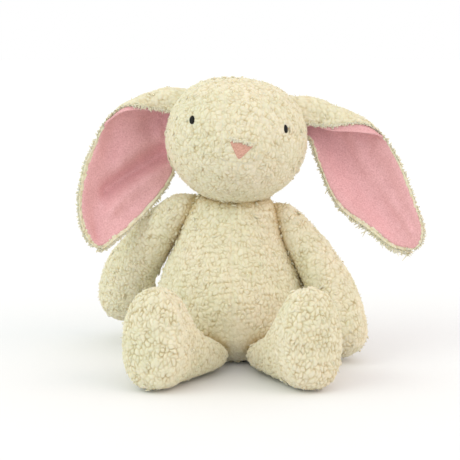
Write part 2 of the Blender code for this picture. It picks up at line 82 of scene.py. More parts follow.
# Forms of the stuffed parts, all in mm
PILE_ROOM = 1.2  # the forms lie this far inside the tips of the pile
TORSO = (
    # height, half width, half depth, middle Y
    (0.6, 45, 41, 4),
    (5, 54.5, 49, 2),
    (14, 61, 55, 0),
    (30, 65, 58, 0),
    (50, 64, 57.5, 0),
    (70, 58, 52, 1),
    (90, 49, 44, 3),
    (106, 43.5, 37, 3),
    (118, 40, 32, 3),
    (126, 36, 27, 3),
    (131.5, 30, 22, 3),
    (135, 20, 15, 3),
    (137, 8, 6, 3),
)
HEAD_MIDDLE = np.array((3.3, -6, 178.0))
HEAD_HALF = np.array((58.5, 51, 52.3))
HEAD_ROLL = math.radians(6)
HEAD_TURN = math.radians(3.5)
CROWN_POWER = 2.35
JAW_POWER = 1.94
MUZZLE_PUSH = 4.5
MUZZLE_RADIUS = 24
ARMS = {
    # x, y, z, radius
    "arm_left": (
        (34, 2, 117, 11),
        (43, 1, 113, 14),
        (58, -6, 95, 17.2),
        (72, -14, 74.5, 19.4),
        (84.3, -23, 51, 21.2),
        (89.5, -30, 25.2, 23),
    ),
    "arm_right": (
        (-35, 3, 123.5, 12),
        (-45, 3, 119, 15),
        (-61.6, 12, 100.4, 19),
        (-75, 24.5, 81.4, 21.4),
        (-87.8, 38, 60.8, 23.6),
        (-92.5, 46.5, 39.5, 25.2),
    ),
}
LEGS = {
    # x, y, half width, underside, top
    "leg_left": (
        (29, -38, 12, 7, 20),
        (31, -48, 22, 2.5, 24),
        (36, -62, 26, 0.8, 30),
        (42, -76, 26.5, 0.3, 39),
        (48, -90, 26.5, 0.3, 54),
        (53.5, -102, 26, 0.3, 73),
        (57.5, -113, 26, 0.3, 80.5),
        (62, -121, 25, 2, 78),
        (64.3, -126, 16, 10, 67),
        (65.3, -127.8, 6, 24, 53),
    ),
    "leg_right": (
        (-22, -38, 12, 7, 20),
        (-24, -48, 23, 2.5, 24),
        (-29.5, -62, 28, 0.8, 30),
        (-37, -76, 28, 0.3, 39),
        (-45, -90, 27, 0.3, 54),
        (-51.5, -102, 26.5, 0.3, 73),
        (-57, -113, 26.8, 0.3, 80.5),
        (-61.5, -121, 25, 2, 78),
        (-64, -126, 16, 10, 67),
        (-65, -127.8, 6, 24, 53),
    ),
}
LEG_SPLAY = math.radians(24)
LEG_SQUARENESS = 2.6  # of the lower half of its rings, where 2 is round
SOLE_LEAN = 0.08
TAIL = (0, 71, 25, 16.5)  # x, y, z, radius

# Covers
BASE_CELL = 4 * MM  # grid of the stuffed forms before they are subdivided
SHRINK, SWELL = 0.5, -0.53  # the two steps that smooth a form without shrinking it
FINE_LEVELS = 3
PUFF_PRESSURE = 4.0
PUFF_FRAMES = 16
PUFF_CAP = 1.2 * MM
SEAM_PIN = 4.0 * MM  # this near a seam the cover doesn't puff out
SEAM_WIDTH = 1.5 * MM
SEAM_DEPTH = 0.8 * MM

# Pile: fat curls that lie side by side, with finer ones over them; sizes are spacing, length, width
FAT_CURLS = (2.65 * MM, (4.6 * MM, 8.2 * MM), (2.3 * MM, 3.6 * MM))
FINE_CURLS = (1.3 * MM, (2.0 * MM, 3.6 * MM), (1.0 * MM, 1.6 * MM))
FAT_RELIEF = 1.6 * MM
FINE_RELIEF = 0.3 * MM
GROOVE_LEAD = 0.2  # a curl rises from the groove round it within this lead over the next curl
GROOVE_DEPTH = (0.3, 0.95)  # least and most, where the relief is full
CURL_STRETCH = (1, 1, 0.8)  # curls lie further apart up and down than side by side
CURL_BEND = 90.0  # per metre
MEAN_RISE = 0.7  # of the fat relief, so that the pile lies about the form it grows on
RELIEF_OF = {"leg_left": 1.15, "leg_right": 1.15, "head": 0.95}  # 1 on the other parts
SEAM_FLATTENING = 0.35  # of the relief, along a seam
LEAST_RELIEF = 0.02  # below this no curl grows
CONTACT_REACH = 4.5 * MM  # pile this near another part gets a painted shade, darker and yellower
CONTACT_SHADE = (0.78, 0.66, 0.48, 1)
FLOOR_GAP = 0.1 * MM
LUMP_SIZE = 15 * MM
LUMP_DEPTH = 0.45 * MM
TUFT_SHARE = 0.035  # of the fat curls have a free end that stands up
TUFT_LIFT = 1.3 * MM
CREASE_TUFTS = 0.12  # more of them where two parts touch
FUZZ_SHARE = 0.6  # of the fat curls have a thin fibre that stands out
FUZZ_LIFT = (0.7 * MM, 1.9 * MM)
FUZZ_THICKNESS = 0.3  # of a tuft's
FRINGE_THICKNESS = 0.55
TUFT_RINGS = 5
TUFT_SIDES = 4
TUFT_RADII = (0.9 * MM, 1.15 * MM, 1.1 * MM, 0.85 * MM, 0.4 * MM)

# Ears: rows from the root to the tip of (inner edge, outer edge, lip length, cup depth) in mm
EAR_LEFT = (
    ((63, 5, 188), (53, 9, 217), 38, 2),
    ((69, 2, 166), (83.5, 9, 205), 31, 5),
    ((77, -2, 143), (112, 5, 191.5), 16, 8),
    ((89, -7, 122.5), (134, -4, 163), 3, 8),
    ((111, -12, 106), (150.5, -11, 122), 0, 5),
    ((125, -14, 96), (155, -14, 104), 0, 3),
    ((136, -15, 89), (151, -15, 89), 0, 1),
)
EAR_RIGHT = (
    ((-57, 7, 196), (-38, 9, 222), 35, 2),
    ((-51, 14, 173), (-66, 9, 216), 28, 5),
    ((-48, 17, 151), (-93, 3, 202), 13, 9),
    ((-62, 2, 129), (-116, -7, 165), 3, 10),
    ((-84, -12, 107), (-123.5, -14, 131), 0, 6),
    ((-97, -16, 97), (-120.5, -17, 107), 0, 3),
    ((-104, -17, 91), (-112, -17, 91), 0, 1),
)
EAR_FOLD_RADIUS = 7 * MM
EAR_LEAST_LIP = 4.5 * MM
EAR_CELL = 0.7 * MM
EAR_PILE = 3.0 * MM
EAR_ROOT_DEPTH = 8 * MM  # the ears' roots go this far into the head
EAR_RIM_WIDTH = 4 * MM  # of the pile that goes round the edge to the lining's side
EAR_RIM_RELIEF = 0.8
LINING_PROUD = 0.7 * MM
LINING_THICKNESS = 0.7 * MM
# pile showing beyond the lining: along the inner edge near the root, along the rest of it, and along
# the outer edge
EAR_RIMS = {"left": (0.8 * MM, 2.6 * MM, 1.0 * MM), "right": (1.2 * MM, 2.4 * MM, 2.2 * MM)}
# turned hem where the lining shows below the pile of the lip: first row, last row, height in mm
EAR_HEMS = {"left": (0.09, 0.41, 7.5), "right": (0.10, 0.40, 4.0)}
# soft ridges (+) and valleys (-) of the blades: row and column of both ends, width and height in mm
BLADE_SIZE = (150, 75)  # mm, along the rows and the columns
EAR_FOLDS = {
    "left": (
        (0.10, 0.38, 0.64, 0.45, 10, -2.6),
        (0.28, 0.10, 0.75, 0.12, 9, 2.5),
        (0.40, 0.70, 0.55, 0.68, 11, -2.4),
        (0.30, 0.55, 0.80, 0.72, 6, 1.8),
    ),
    "right": (
        (0.30, 0.16, 0.57, 0.60, 6.5, -8.5),
        (0.26, 0.02, 0.62, 0.40, 8, 5.5),
        (0.24, 0.28, 0.44, 0.62, 8, 4.0),
        (0.40, 0.84, 0.44, 0.80, 8, -4.5),
        (0.16, 0.40, 0.26, 0.48, 9, -3.0),
        (0.62, 0.70, 0.85, 0.55, 9, -2.5),
    ),
}

# Face: half width and height (mm), lean, shift across and up (mm) of the eyes; corners of the nose
EYES = {"eye_left": (1.75, 3.3, -0.16, -1.0, -0.4), "eye_right": (2.15, 3.5, 0.05, 1.0, -1.7)}
NOSE_CORNERS = ((-9.4, 7.4), (10.8, 3.0), (-2.0, -9.2))
EYE_DOME = 1.3 * MM
EYE_THREADS = 13
EYE_THREAD_RELIEF = 0.12 * MM
NOSE_PROUD = 0.9 * MM
NOSE_CURVE = 45 * MM  # radius
NOSE_THICKNESS = 1.5 * MM
BROW_TUFTS = 26
FACE_DEPTH = 12 * MM  # how far through the skin the eyes and the nose keep the pile away
FACE_PROUD = 0.3 * MM  # above the skin the pile grows on

# Covers of the CAD model that make up each stuffed part
COVERS = {
    "head": ("head_gusset", "head_side_left", "head_side_right"),
    "torso": ("torso_front_left", "torso_front_right", "torso_back_left", "torso_back_right", "seat_panel"),
    "tail": ("tail_cover",),
    "arm_left": ("arm_left_front", "arm_left_back"),
    "arm_right": ("arm_right_front", "arm_right_back"),
    "leg_left": ("leg_left_inner", "leg_left_outer", "foot_left_sole"),
    "leg_right": ("leg_right_inner", "leg_right_outer", "foot_right_sole"),
}

# View
CAMERA_TARGET = Vector((0, 0, 0.105))
CAMERA_ELEVATION = math.radians(9.5)
CAMERA_DISTANCE = 1.10
VIEW_WIDTH = 0.3818  # of the picture at the target
CAMERA_SHIFT = (-0.00435, -0.0040)


# ---------------------------------------------------------------- mesh helpers


def read(items, field, each=3, kind=np.float64):
    """A field of some mesh elements, which have that many values each, as a flat array."""
    values = np.empty(len(items) * each, dtype=kind)
    items.foreach_get(field, values)
    return values


def points_of(mesh):
    """Vertex positions as rows."""
    return read(mesh.vertices, "co").reshape(-1, 3)


def normals_of(mesh):
    """Vertex normals as rows."""
    return read(mesh.vertex_normals, "vector").reshape(-1, 3)


def quads_of(mesh):
    """Faces of an all-quad mesh as rows."""
    return read(mesh.loops, "vertex_index", 1, np.int64).reshape(-1, 4)


def face_tree(mesh):
    """Search tree over a mesh's faces."""
    return BVHTree.FromPolygons([v.co for v in mesh.vertices], [tuple(p.vertices) for p in mesh.polygons])


def point_tree(points):
    """Search tree over points."""
    tree = KDTree(len(points))
    for index, point in enumerate(points):
        tree.insert(point, index)
    tree.balance()
    return tree


def mesh_of(name, points, faces, colours=None):
    """A smooth mesh from arrays of points and quads, with a colour for each point."""
    mesh = bpy.data.meshes.new(name)
    mesh.vertices.add(len(points))
    mesh.vertices.foreach_set("co", np.ascontiguousarray(points, dtype=np.float32).ravel())
    mesh.loops.add(faces.size)
    mesh.loops.foreach_set("vertex_index", np.ascontiguousarray(faces, dtype=np.int32).ravel())
    mesh.polygons.add(len(faces))
    mesh.polygons.foreach_set("loop_start", np.arange(len(faces), dtype=np.int32) * 4)
    mesh.polygons.foreach_set("use_smooth", np.ones(len(faces), dtype=bool))
    mesh.update(calc_edges=True)
    if colours is not None:
        layer = mesh.attributes.new("pile", "FLOAT_COLOR", "POINT")
        layer.data.foreach_set("color", np.ascontiguousarray(colours, dtype=np.float32).ravel())
    return mesh


def object_of(name, mesh):
    """An object for the mesh, in the scene."""
    obj = bpy.data.objects.new(name, mesh)
    bpy.context.scene.collection.objects.link(obj)
    return obj


def apply_modifiers(obj):
    """Replaces the object's mesh by what its modifiers make of it."""
    bpy.context.view_layer.update()
    graph = bpy.context.evaluated_depsgraph_get()
    mesh = bpy.data.meshes.new_from_object(obj.evaluated_get(graph), depsgraph=graph)
    obj.modifiers.clear()
    obj.data = mesh


def unit(vectors):
    """Vectors scaled to length one."""
    return vectors / np.maximum(np.linalg.norm(vectors, axis=-1, keepdims=True), 1e-12)


def smoothstep(low, high, values):
    """0 below low, 1 above high, smooth between."""
    t = np.clip((values - low) / (high - low), 0, 1)
    return t * t * (3 - 2 * t)


def fairing(points, edges, rounds):
    """Smooths the steps that the voxels leave on a mesh."""
    degree = np.bincount(edges.ravel(), minlength=len(points))[:, None]
    for factor in (SHRINK, SWELL) * rounds:
        total = np.zeros_like(points)
        np.add.at(total, edges[:, 0], points[edges[:, 1]])
        np.add.at(total, edges[:, 1], points[edges[:, 0]])
        points = points + factor * (total / degree - points)
    return points


def value_noise(points, size, seed):
    """Smooth noise from about -1 to 1, as a sum of a few slow waves in random directions."""
    rng = np.random.default_rng(seed)
    total = np.zeros(len(points))
    for _ in range(7):
        direction = unit(rng.normal(size=3))
        pitch = size * rng.uniform(0.7, 1.6)
        total += np.sin(points @ direction * (2 * math.pi / pitch) + rng.uniform(0, 6.283))
    return total / 3.5


# ---------------------------------------------------------------- stuffed forms


def resampled(stations, count):
    """Smooth rows through a table's rows, evenly numbered along it."""
    rows = np.array(stations, float)
    steps = np.diff(rows, axis=0)
    slopes = np.concatenate([steps[:1], (steps[1:] + steps[:-1]) / 2, steps[-1:]])
    smooth = []
    for place in np.linspace(0, len(rows) - 1, count):
        k = max(math.ceil(place) - 1, 0)
        t = place - k
        smooth.append(
            (2 * t**3 - 3 * t**2 + 1) * rows[k]
            + (t**3 - 2 * t**2 + t) * slopes[k]
            + (3 * t**2 - 2 * t**3) * rows[k + 1]
            + (t**3 - t**2) * slopes[k + 1]
        )
    return smooth


def oval(middle, across, up, half_across, half_up, lower_power=2.0, columns=48):
    """A ring round an oval whose lower half may be squarer."""
    ring = []
    for column in range(columns):
        angle = 2 * math.pi * column / columns
        c, s = math.cos(angle), math.sin(angle)
        power = 2 / (lower_power if s < 0 else 2.0)
        x = math.copysign(abs(c) ** power, c)
        z = math.copysign(abs(s) ** power, s)
        ring.append(middle + across * (x * half_across) + up * (z * half_up))
    return ring


def torso_rings():
    """Level rings up the torso."""
    return [
        oval(np.array((0, middle, height)), X, Y, half_width - PILE_ROOM, half_depth - PILE_ROOM)
        for height, half_width, half_depth, middle in resampled(TORSO, 60)
    ]


def arm_rings(stations):
    """Rings along an arm, with rounded ends."""
    rows = np.array(resampled(stations, 40))
    ahead = unit(np.gradient(rows[:, :3], axis=0))
    polar = (80, 60, 40, 20)
    course = [(0, angle, -1) for angle in polar]
    course += [(row, 0, 1) for row in range(len(rows))]
    course += [(-1, angle, 1) for angle in polar[::-1]]
    rings = []
    for row, angle, way in course:
        radius = rows[row, 3] - PILE_ROOM
        side = unit(np.cross(ahead[row], Y))
        middle = rows[row, :3] + ahead[row] * way * radius * math.sin(math.radians(angle))
        radius *= math.cos(math.radians(angle))
        rings.append(oval(middle, side, np.cross(side, ahead[row]), radius, radius))
    return rings


def leg_rings(side, stations):
    """Upright rings along a leg from the hip to the sole, which leans back a little."""
    along = np.array((side * math.sin(LEG_SPLAY), -math.cos(LEG_SPLAY), 0))
    across = np.array((math.cos(LEG_SPLAY), side * math.sin(LEG_SPLAY), 0))
    rings = []
    for x, y, half_width, low, high in resampled(stations, 48):
        lean = SOLE_LEAN * float(smoothstep(80, 110, -y))
        up = Z - along * lean
        middle = np.array((x, y, (low + high) / 2))
        half_height = (high - low) / 2 - PILE_ROOM
        half_width = max(half_width - PILE_ROOM, 1)
        rings.append(oval(middle, across, up, half_width, max(half_height, 1), LEG_SQUARENESS))
    return rings


def ball_rings(middle, half):
    """Level rings up a ball."""
    rings = []
    for polar in range(-85, 86, 5):
        angle = math.radians(polar)
        centre = middle + np.array((0, 0, half * math.sin(angle)))
        radius = half * math.cos(angle)
        rings.append(oval(centre, X, Y, radius, radius))
    return rings


def head_rings():
    """Rings round the head: full crown, tapering jaw, a muzzle pushed forward."""
    c, s = math.cos(HEAD_ROLL), math.sin(HEAD_ROLL)
    roll = np.array(((c, 0, s), (0, 1, 0), (-s, 0, c)))
    c, s = math.cos(HEAD_TURN), math.sin(HEAD_TURN)
    turn = np.array(((c, -s, 0), (s, c, 0), (0, 0, 1)))
    rings = []
    for ring in ball_rings(np.zeros(3), 1.0):
        way = unit(np.array(ring))
        share = smoothstep(-0.35, 0.35, way[:, 2])
        power = JAW_POWER + (CROWN_POWER - JAW_POWER) * share
        size = (np.abs(way) ** power[:, None]).sum(axis=1) ** (-1 / power)
        local = way * size[:, None] * (HEAD_HALF - PILE_ROOM)
        away = np.linalg.norm(local - (0, -HEAD_HALF[1], -8), axis=1)
        local[:, 1] -= MUZZLE_PUSH * np.exp(-((away / MUZZLE_RADIUS) ** 2))
        rings.append(local @ (turn @ roll).T + HEAD_MIDDLE)
    return rings


def form_rings(part):
    """The rings of a stuffed part, in mm."""
    if part == "torso":
        return torso_rings()
    if part == "head":
        return head_rings()
    if part == "tail":
        return ball_rings(np.array(TAIL[:3]), TAIL[3] - PILE_ROOM)
    if part in ARMS:
        return arm_rings(ARMS[part])
    return leg_rings(1 if part == "leg_left" else -1, LEGS[part])


def stuffed_form(part):
    """One smooth closed mesh of even quads through the rings of a part."""
    rings = np.array(form_rings(part)) * MM
    rows, columns = rings.shape[:2]
    faces = []
    for row in range(rows - 1):
        for column in range(columns):
            a = row * columns + column
            b = row * columns + (column + 1) % columns
            faces.append((a, b, b + columns, a + columns))
    faces.append(tuple(range(columns))[::-1])
    faces.append(tuple(range((rows - 1) * columns, rows * columns)))
    mesh = bpy.data.meshes.new(part)
    mesh.from_pydata(rings.reshape(-1, 3).tolist(), [], faces)
    form = object_of(part, mesh)
    remesh = form.modifiers.new("Remesh", "REMESH")
    remesh.mode = "VOXEL"
    remesh.voxel_size = BASE_CELL
    apply_modifiers(form)
    mesh = form.data
    edges = read(mesh.edges, "vertices", 2, np.int64).reshape(-1, 2)
    points = fairing(points_of(mesh), edges, 5)
    mesh.vertices.foreach_set("co", points.ravel())
    mesh.update()
    face_out(mesh)
    return form


def face_out(mesh):
    """Turns the faces of a closed mesh so that they point out of it."""
    points = points_of(mesh)
    if ((points - points.mean(axis=0)) * normals_of(mesh)).sum() < 0:
        mesh.flip_normals()


def skin_point(part, place, out):
    """The point of a part's skin met from outside, going against out through a place."""
    place, out = Vector(place), Vector(out)
    return np.array(skins[part].ray_cast(place + out * 30 * MM, -out)[0])


def cover_distances(points, covers):
    """Distance from each point to each cover of the CAD model."""
    columns = []
    for node in covers:
        tree = face_tree(frame["nodes"][node].data)
        columns.append([tree.find_nearest(Vector(point))[3] for point in points])
    return np.array(columns).T


def contact(points, part):
    """1 where the skin touches another part of the toy, falling to 0 away from it."""
    near = np.zeros(len(points))
    for other, skin in skins.items():
        if other != part:
            away = np.array([skin.find_nearest(Vector(point))[3] for point in points])
            near = np.maximum(near, np.exp(-((away / CONTACT_REACH) ** 2)))
    return near


def seam_distance(distances):
    """How far each point is from the nearest seam between two covers."""
    if distances.shape[1] == 1:
        return np.full(len(distances), 1.0)
    ordered = np.sort(distances, axis=1)
    return ordered[:, 1] - ordered[:, 0]


def puff(form, seams):
    """Lets the stuffing blow the cover out between its seams, by cloth simulation."""
    mesh = form.data
    start = points_of(mesh)
    group = form.vertex_groups.new(name="seams")
    for index, distance in enumerate(seams):
        group.add([index], 1.0 - 0.9 * float(smoothstep(0.5 * SEAM_PIN, SEAM_PIN, distance)), "REPLACE")
    cloth = form.modifiers.new("Cloth", "CLOTH")
    settings = cloth.settings
    settings.quality = 4
    settings.mass = 0.3
    settings.tension_stiffness = 10
    settings.compression_stiffness = 10
    settings.shear_stiffness = 5
    settings.bending_stiffness = 0.5
    settings.use_pressure = True
    settings.uniform_pressure_force = PUFF_PRESSURE
    settings.vertex_group_mass = "seams"
    settings.effector_weights.gravity = 0
    cloth.point_cache.frame_start = 1
    cloth.point_cache.frame_end = PUFF_FRAMES
    scene = bpy.context.scene
    for number in range(1, PUFF_FRAMES + 1):
        scene.frame_set(number)
    blown = form.evaluated_get(bpy.context.evaluated_depsgraph_get())
    end = points_of(blown.to_mesh())
    blown.to_mesh_clear()
    form.modifiers.remove(cloth)
    scene.frame_set(1)
    move = end - start
    length = np.linalg.norm(move, axis=1, keepdims=True)
    move *= np.minimum(1, PUFF_CAP / np.maximum(length, 1e-9))
    mesh.vertices.foreach_set("co", (start + move).ravel())
    mesh.update()
    form.vertex_groups.clear()


# ---------------------------------------------------------------- pile


def scatter(points, spacing, rng):
    """Indices of points, taken in random order and kept about a spacing apart."""
    order = rng.permutation(len(points))
    cells = np.floor(points / (spacing / math.sqrt(3))).astype(np.int64).tolist()
    places = points.tolist()
    taken = {}
    kept = []
    reach = range(-2, 3)
    offsets = [(a, b, c) for a in reach for b in reach for c in reach if a * a + b * b + c * c < 7]
    limit = spacing * spacing
    for index in order.tolist():
        i, j, k = cells[index]
        if (i, j, k) in taken:
            continue
        x, y, z = places[index]
        for a, b, c in offsets:
            other = taken.get((i + a, j + b, k + c))
            if other is not None:
                d = (x - other[0]) ** 2 + (y - other[1]) ** 2 + (z - other[2]) ** 2
                if d < limit:
                    break
        else:
            taken[(i, j, k)] = (x, y, z)
            kept.append(index)
    return np.array(kept)


def near_pairs(centres, points, reach):
    """Pairs of a centre and a point within reach of it, in a few batches."""
    origin = points.min(axis=0) - 2 * reach
    grid = np.floor((points - origin) / reach).astype(np.int64)
    size = grid.max(axis=0) + 4
    keys = (grid[:, 0] * size[1] + grid[:, 1]) * size[2] + grid[:, 2]
    order = np.argsort(keys, kind="stable")
    keys = keys[order]
    home = np.floor((centres - origin) / reach).astype(np.int64)
    for a in (-1, 0, 1):
        for b in (-1, 0, 1):
            for c in (-1, 0, 1):
                cell = home + (a, b, c)
                wanted = (cell[:, 0] * size[1] + cell[:, 1]) * size[2] + cell[:, 2]
                low = np.searchsorted(keys, wanted, "left")
                high = np.searchsorted(keys, wanted, "right")
                count = high - low
                owner = np.repeat(np.arange(len(centres)), count)
                offset = np.repeat(low - (np.cumsum(count) - count), count)
                found = order[offset + np.arange(count.sum())]
                near = ((points[found] - centres[owner]) ** 2).sum(axis=1) < reach * reach
                yield owner[near], found[near]


def soften(values, quads, rounds):
    """Evens out a value given at each point of a quad mesh."""
    ends = quads.ravel()
    others = np.roll(quads, -1, axis=1).ravel()
    count = len(values)
    degree = np.bincount(ends, minlength=count) + np.bincount(others, minlength=count)
    degree = np.maximum(degree, 1)
    for _ in range(rounds):
        total = np.bincount(ends, weights=values[others], minlength=count)
        total += np.bincount(others, weights=values[ends], minlength=count)
        values = 0.5 * values + 0.5 * total / degree
    return values


class Curls:
    """Curls of pile scattered over a surface: where each lies, its direction, size and bend.

    sizes are their spacing, lengths and widths; droop is the way they lie, and spread how much that varies.
    """

    def __init__(self, points, normals, sizes, seed, droop=(0, 0, -1), spread=0.6):
        rng = np.random.default_rng(seed)
        spacing, lengths, widths = sizes
        enough = int(len(points) * min(1, 0.9 * MM / spacing))
        candidates = rng.permutation(len(points))[:enough]
        chosen = candidates[scatter(points[candidates] * CURL_STRETCH, spacing, rng)]
        count = len(chosen)
        self.roots = chosen
        self.centre = points[chosen]
        self.normal = normals[chosen]
        droop = np.array(droop, float) + 0.25 * rng.normal(size=(count, 3))
        along = unit(droop - (droop * self.normal).sum(axis=1, keepdims=True) * self.normal)
        side = np.cross(self.normal, along)
        turn = value_noise(self.centre, 18 * MM, seed + 1) * 0.8 + rng.normal(size=count) * spread
        self.along = along * np.cos(turn)[:, None] + side * np.sin(turn)[:, None]
        self.side = np.cross(self.normal, self.along)
        self.length = rng.uniform(*lengths, count)
        self.width = rng.uniform(*widths, count)
        self.height = rng.uniform(0.9, 1.1, count)
        self.bend = rng.normal(size=count) * CURL_BEND * (3 * MM / spacing)
        self.tint = rng.uniform(0, 1, count)
        self.chance = rng.uniform(0, 1, count)

    def relief(self, points):
        """Rise of the pile out of the grooves between the curls, from 0 to 1, and the tint of the curl."""
        top = np.zeros(len(points), dtype=np.int64)
        second = np.zeros(len(points), dtype=np.int64)
        reach = self.length.max() * 0.75
        count = len(self.length)
        for owner, found in near_pairs(self.centre, points, reach):
            away = points[found] - self.centre[owner]
            x = (away * self.along[owner]).sum(axis=1)
            y = (away * self.side[owner]).sum(axis=1) - self.bend[owner] * x * x
            far = np.sqrt((2 * x / self.length[owner]) ** 2 + (2 * y / self.width[owner]) ** 2)
            nearness = np.maximum(self.height[owner] - 0.5 * far, 0)
            code = np.floor(nearness * 1e6).astype(np.int64) * count + owner
            other = np.minimum(code, top[found])
            np.maximum.at(top, found, code)
            other = np.where(code < top[found], code, other)
            other = np.where(other % count == top[found] % count, 0, other)
            np.maximum.at(second, found, other)
        lead = (top // count - second // count) / 1e6
        return 1 - np.exp(-lead / GROOVE_LEAD), self.tint[top % count]

    def tufts(self, share, rng):
        """Free ends of some of the curls."""
        chosen = np.nonzero(self.chance < share)[0]
        count = len(chosen)
        start = self.centre[chosen] + self.normal[chosen] * (FAT_RELIEF * 0.45)
        directions = (self.along[chosen], self.side[chosen], self.normal[chosen])
        length = self.length[chosen] * rng.uniform(0.3, 0.55, count)
        up = rng.uniform(0.0, 1.0, count) ** 2 * TUFT_LIFT
        bend = self.bend[chosen] * 1.5 + rng.normal(size=count) * 60
        return strands(start, directions, length, up, bend, self.tint[chosen], rng)

    def fuzz(self, rng):
        """Thin fibres that stand out of some of the curls."""
        chosen = np.nonzero(self.chance > 1 - FUZZ_SHARE)[0]
        count = len(chosen)
        start = self.centre[chosen] + self.along[chosen] * rng.uniform(-1.5, 1.5, (count, 1)) * MM
        turn = rng.uniform(0, 2 * math.pi, (count, 1))
        along = self.along[chosen] * np.cos(turn) + self.side[chosen] * np.sin(turn)
        directions = (along, np.cross(self.normal[chosen], along), self.normal[chosen])
        length = rng.uniform(0.6, 1.8, count) * MM
        up = rng.uniform(*FUZZ_LIFT, count)
        bend = rng.normal(size=count) * 120
        return strands(start, directions, length, up, bend, self.tint[chosen], rng, FUZZ_THICKNESS)


def strands(start, directions, length, up, bend, tint, rng, thickness=1.0):
    """Small bent, tapering tufts: their points, colours and roots. A bend is a curvature per metre."""
    along, side, normal = directions
    count = len(start)
    steps = np.linspace(0, 1, TUFT_RINGS)
    x = length[:, None] * (-0.1 + 1.1 * steps)
    y = bend[:, None] * x * x
    z = up[:, None] * steps**1.7
    path = start[:, None] + x[..., None] * along[:, None] + y[..., None] * side[:, None]
    path = path + z[..., None] * normal[:, None]
    ahead = unit(np.gradient(path, axis=1))
    across = unit(np.cross(ahead, normal[:, None]))
    other = np.cross(across, ahead)
    radius = thickness * np.array(TUFT_RADII) * rng.uniform(0.7, 1.2, (count, 1))
    rings = []
    for number in range(TUFT_SIDES):
        angle = 2 * math.pi * number / TUFT_SIDES
        spoke = across * math.cos(angle) + other * (math.sin(angle) * 0.8)
        rings.append(path + spoke * radius[..., None])
    points = np.stack(rings, axis=2)
    colours = np.ones((count, TUFT_RINGS, TUFT_SIDES, 4))
    # height in the pile, lower at a tuft's root, where the material paints shade
    colours[..., 0] = (0.8 + 0.2 * steps)[None, :, None]
    colours[..., 1] = tint[:, None, None]
    colours[..., 2] = 0
    return points.reshape(count, -1, 3), colours.reshape(count, -1, 4), start


def tuft_quads():
    """The quads of one tuft: its sides, and its two ends."""
    ring = np.arange(TUFT_SIDES)
    after = (ring + 1) % TUFT_SIDES
    sides = []
    for low in range(0, (TUFT_RINGS - 1) * TUFT_SIDES, TUFT_SIDES):
        high = low + TUFT_SIDES
        sides.append(np.stack([low + ring, high + ring, high + after, low + after], axis=1))
    return np.concatenate([*sides, [ring, high + ring[::-1]]])


def together(*lots):
    """Lots of tufts as one."""
    return tuple(np.concatenate(arrays) for arrays in zip(*lots))


def piled(points, normals, quads, seed, amount, sink, **flow):
    """Points moved out by fat and fine curls, their colours, and the fat curls.

    A colour is the height in the pile (red), which the material turns into painted shade low in the
    grooves, the tint of the curl (green) and the painted shade of a neighbouring part (blue).
    """
    active = amount > LEAST_RELIEF
    fat = Curls(points[active], normals[active], FAT_CURLS, seed, **flow)
    fat.roots = np.nonzero(active)[0][fat.roots]
    fine = Curls(points[active], normals[active], FINE_CURLS, seed + 3, spread=1.5, **flow)
    rise, tint = fat.relief(points)
    detail = fine.relief(points)[0]
    shallow, deep = GROOVE_DEPTH
    groove = shallow + (deep - shallow) * (0.5 + 0.5 * value_noise(points, 6 * MM, seed + 5))
    rise = soften(1 - np.clip(groove * amount, 0.1, 1) * (1 - rise), quads, 1)
    detail = soften(detail, quads, 1)
    lumps = value_noise(points, LUMP_SIZE, 5)
    out = amount * (rise * FAT_RELIEF + detail * FINE_RELIEF - MEAN_RISE * FAT_RELIEF)
    out += lumps * LUMP_DEPTH * np.minimum(amount, 1) - sink
    height = np.clip(0.9 * rise + 0.1 * detail, 0, 1)
    colours = np.stack([height, tint, np.zeros_like(tint), np.ones_like(tint)], axis=1)
    return points + normals * out[:, None], colours, fat


def blown_form(part, covers):
    """The stuffed form of a part, with its skin kept for the pieces that lie on it."""
    form = stuffed_form(part)
    puff(form, seam_distance(cover_distances(points_of(form.data), covers)))
    skins[part] = face_tree(form.data)
    return form


def pile_pieces(part, form, covers, seed, growth=None, extra=None):
    """The covers of one stuffed part as separate pieces of curly fabric that meet at the seams.

    growth gives how much pile there is at some points, and extra makes more tufts.
    """
    distances = cover_distances(points_of(form.data), covers)
    for name, values in zip((*covers, "contact"), (*distances.T, contact(points_of(form.data), part))):
        layer = form.data.attributes.new(name, "FLOAT", "POINT")
        layer.data.foreach_set("value", values.astype(np.float32))
    fine = form.modifiers.new("Subdivision", "SUBSURF")
    fine.levels = FINE_LEVELS
    fine.render_levels = FINE_LEVELS
    apply_modifiers(form)
    mesh = form.data
    points, normals, quads = points_of(mesh), normals_of(mesh), quads_of(mesh)
    values = [read(mesh.attributes[name].data, "value", 1) for name in (*covers, "contact")]
    distances, touch = np.stack(values[:-1], axis=1), values[-1]
    bpy.data.objects.remove(form)

    near_seam = np.exp(-((seam_distance(distances) / SEAM_WIDTH) ** 2))
    amount = RELIEF_OF.get(part, 1) * (1 - SEAM_FLATTENING * near_seam)
    if growth is not None:
        amount = amount * growth(points)
    points, colours, fat = piled(points, normals, quads, seed, amount, near_seam * SEAM_DEPTH)
    # blue: where the material paints shade near another part
    colours[:, 2] = touch
    rng = np.random.default_rng(seed + 7)
    tufts = together(fat.tufts(TUFT_SHARE + CREASE_TUFTS * touch[fat.roots], rng), fat.fuzz(rng))
    if growth is not None:
        tips = tufts[0][:, -TUFT_SIDES:].mean(axis=1)
        clear = (growth(tufts[2]) > 0.95) & (growth(tips) > 0.95)
        tufts = tuple(array[clear] for array in tufts)
    if extra is not None:
        tufts = together(tufts, extra(rng))
    owner = distances[quads].mean(axis=1).argmin(axis=1)
    return split(covers, points, quads, colours, owner, distances.argmin(axis=1), tufts)


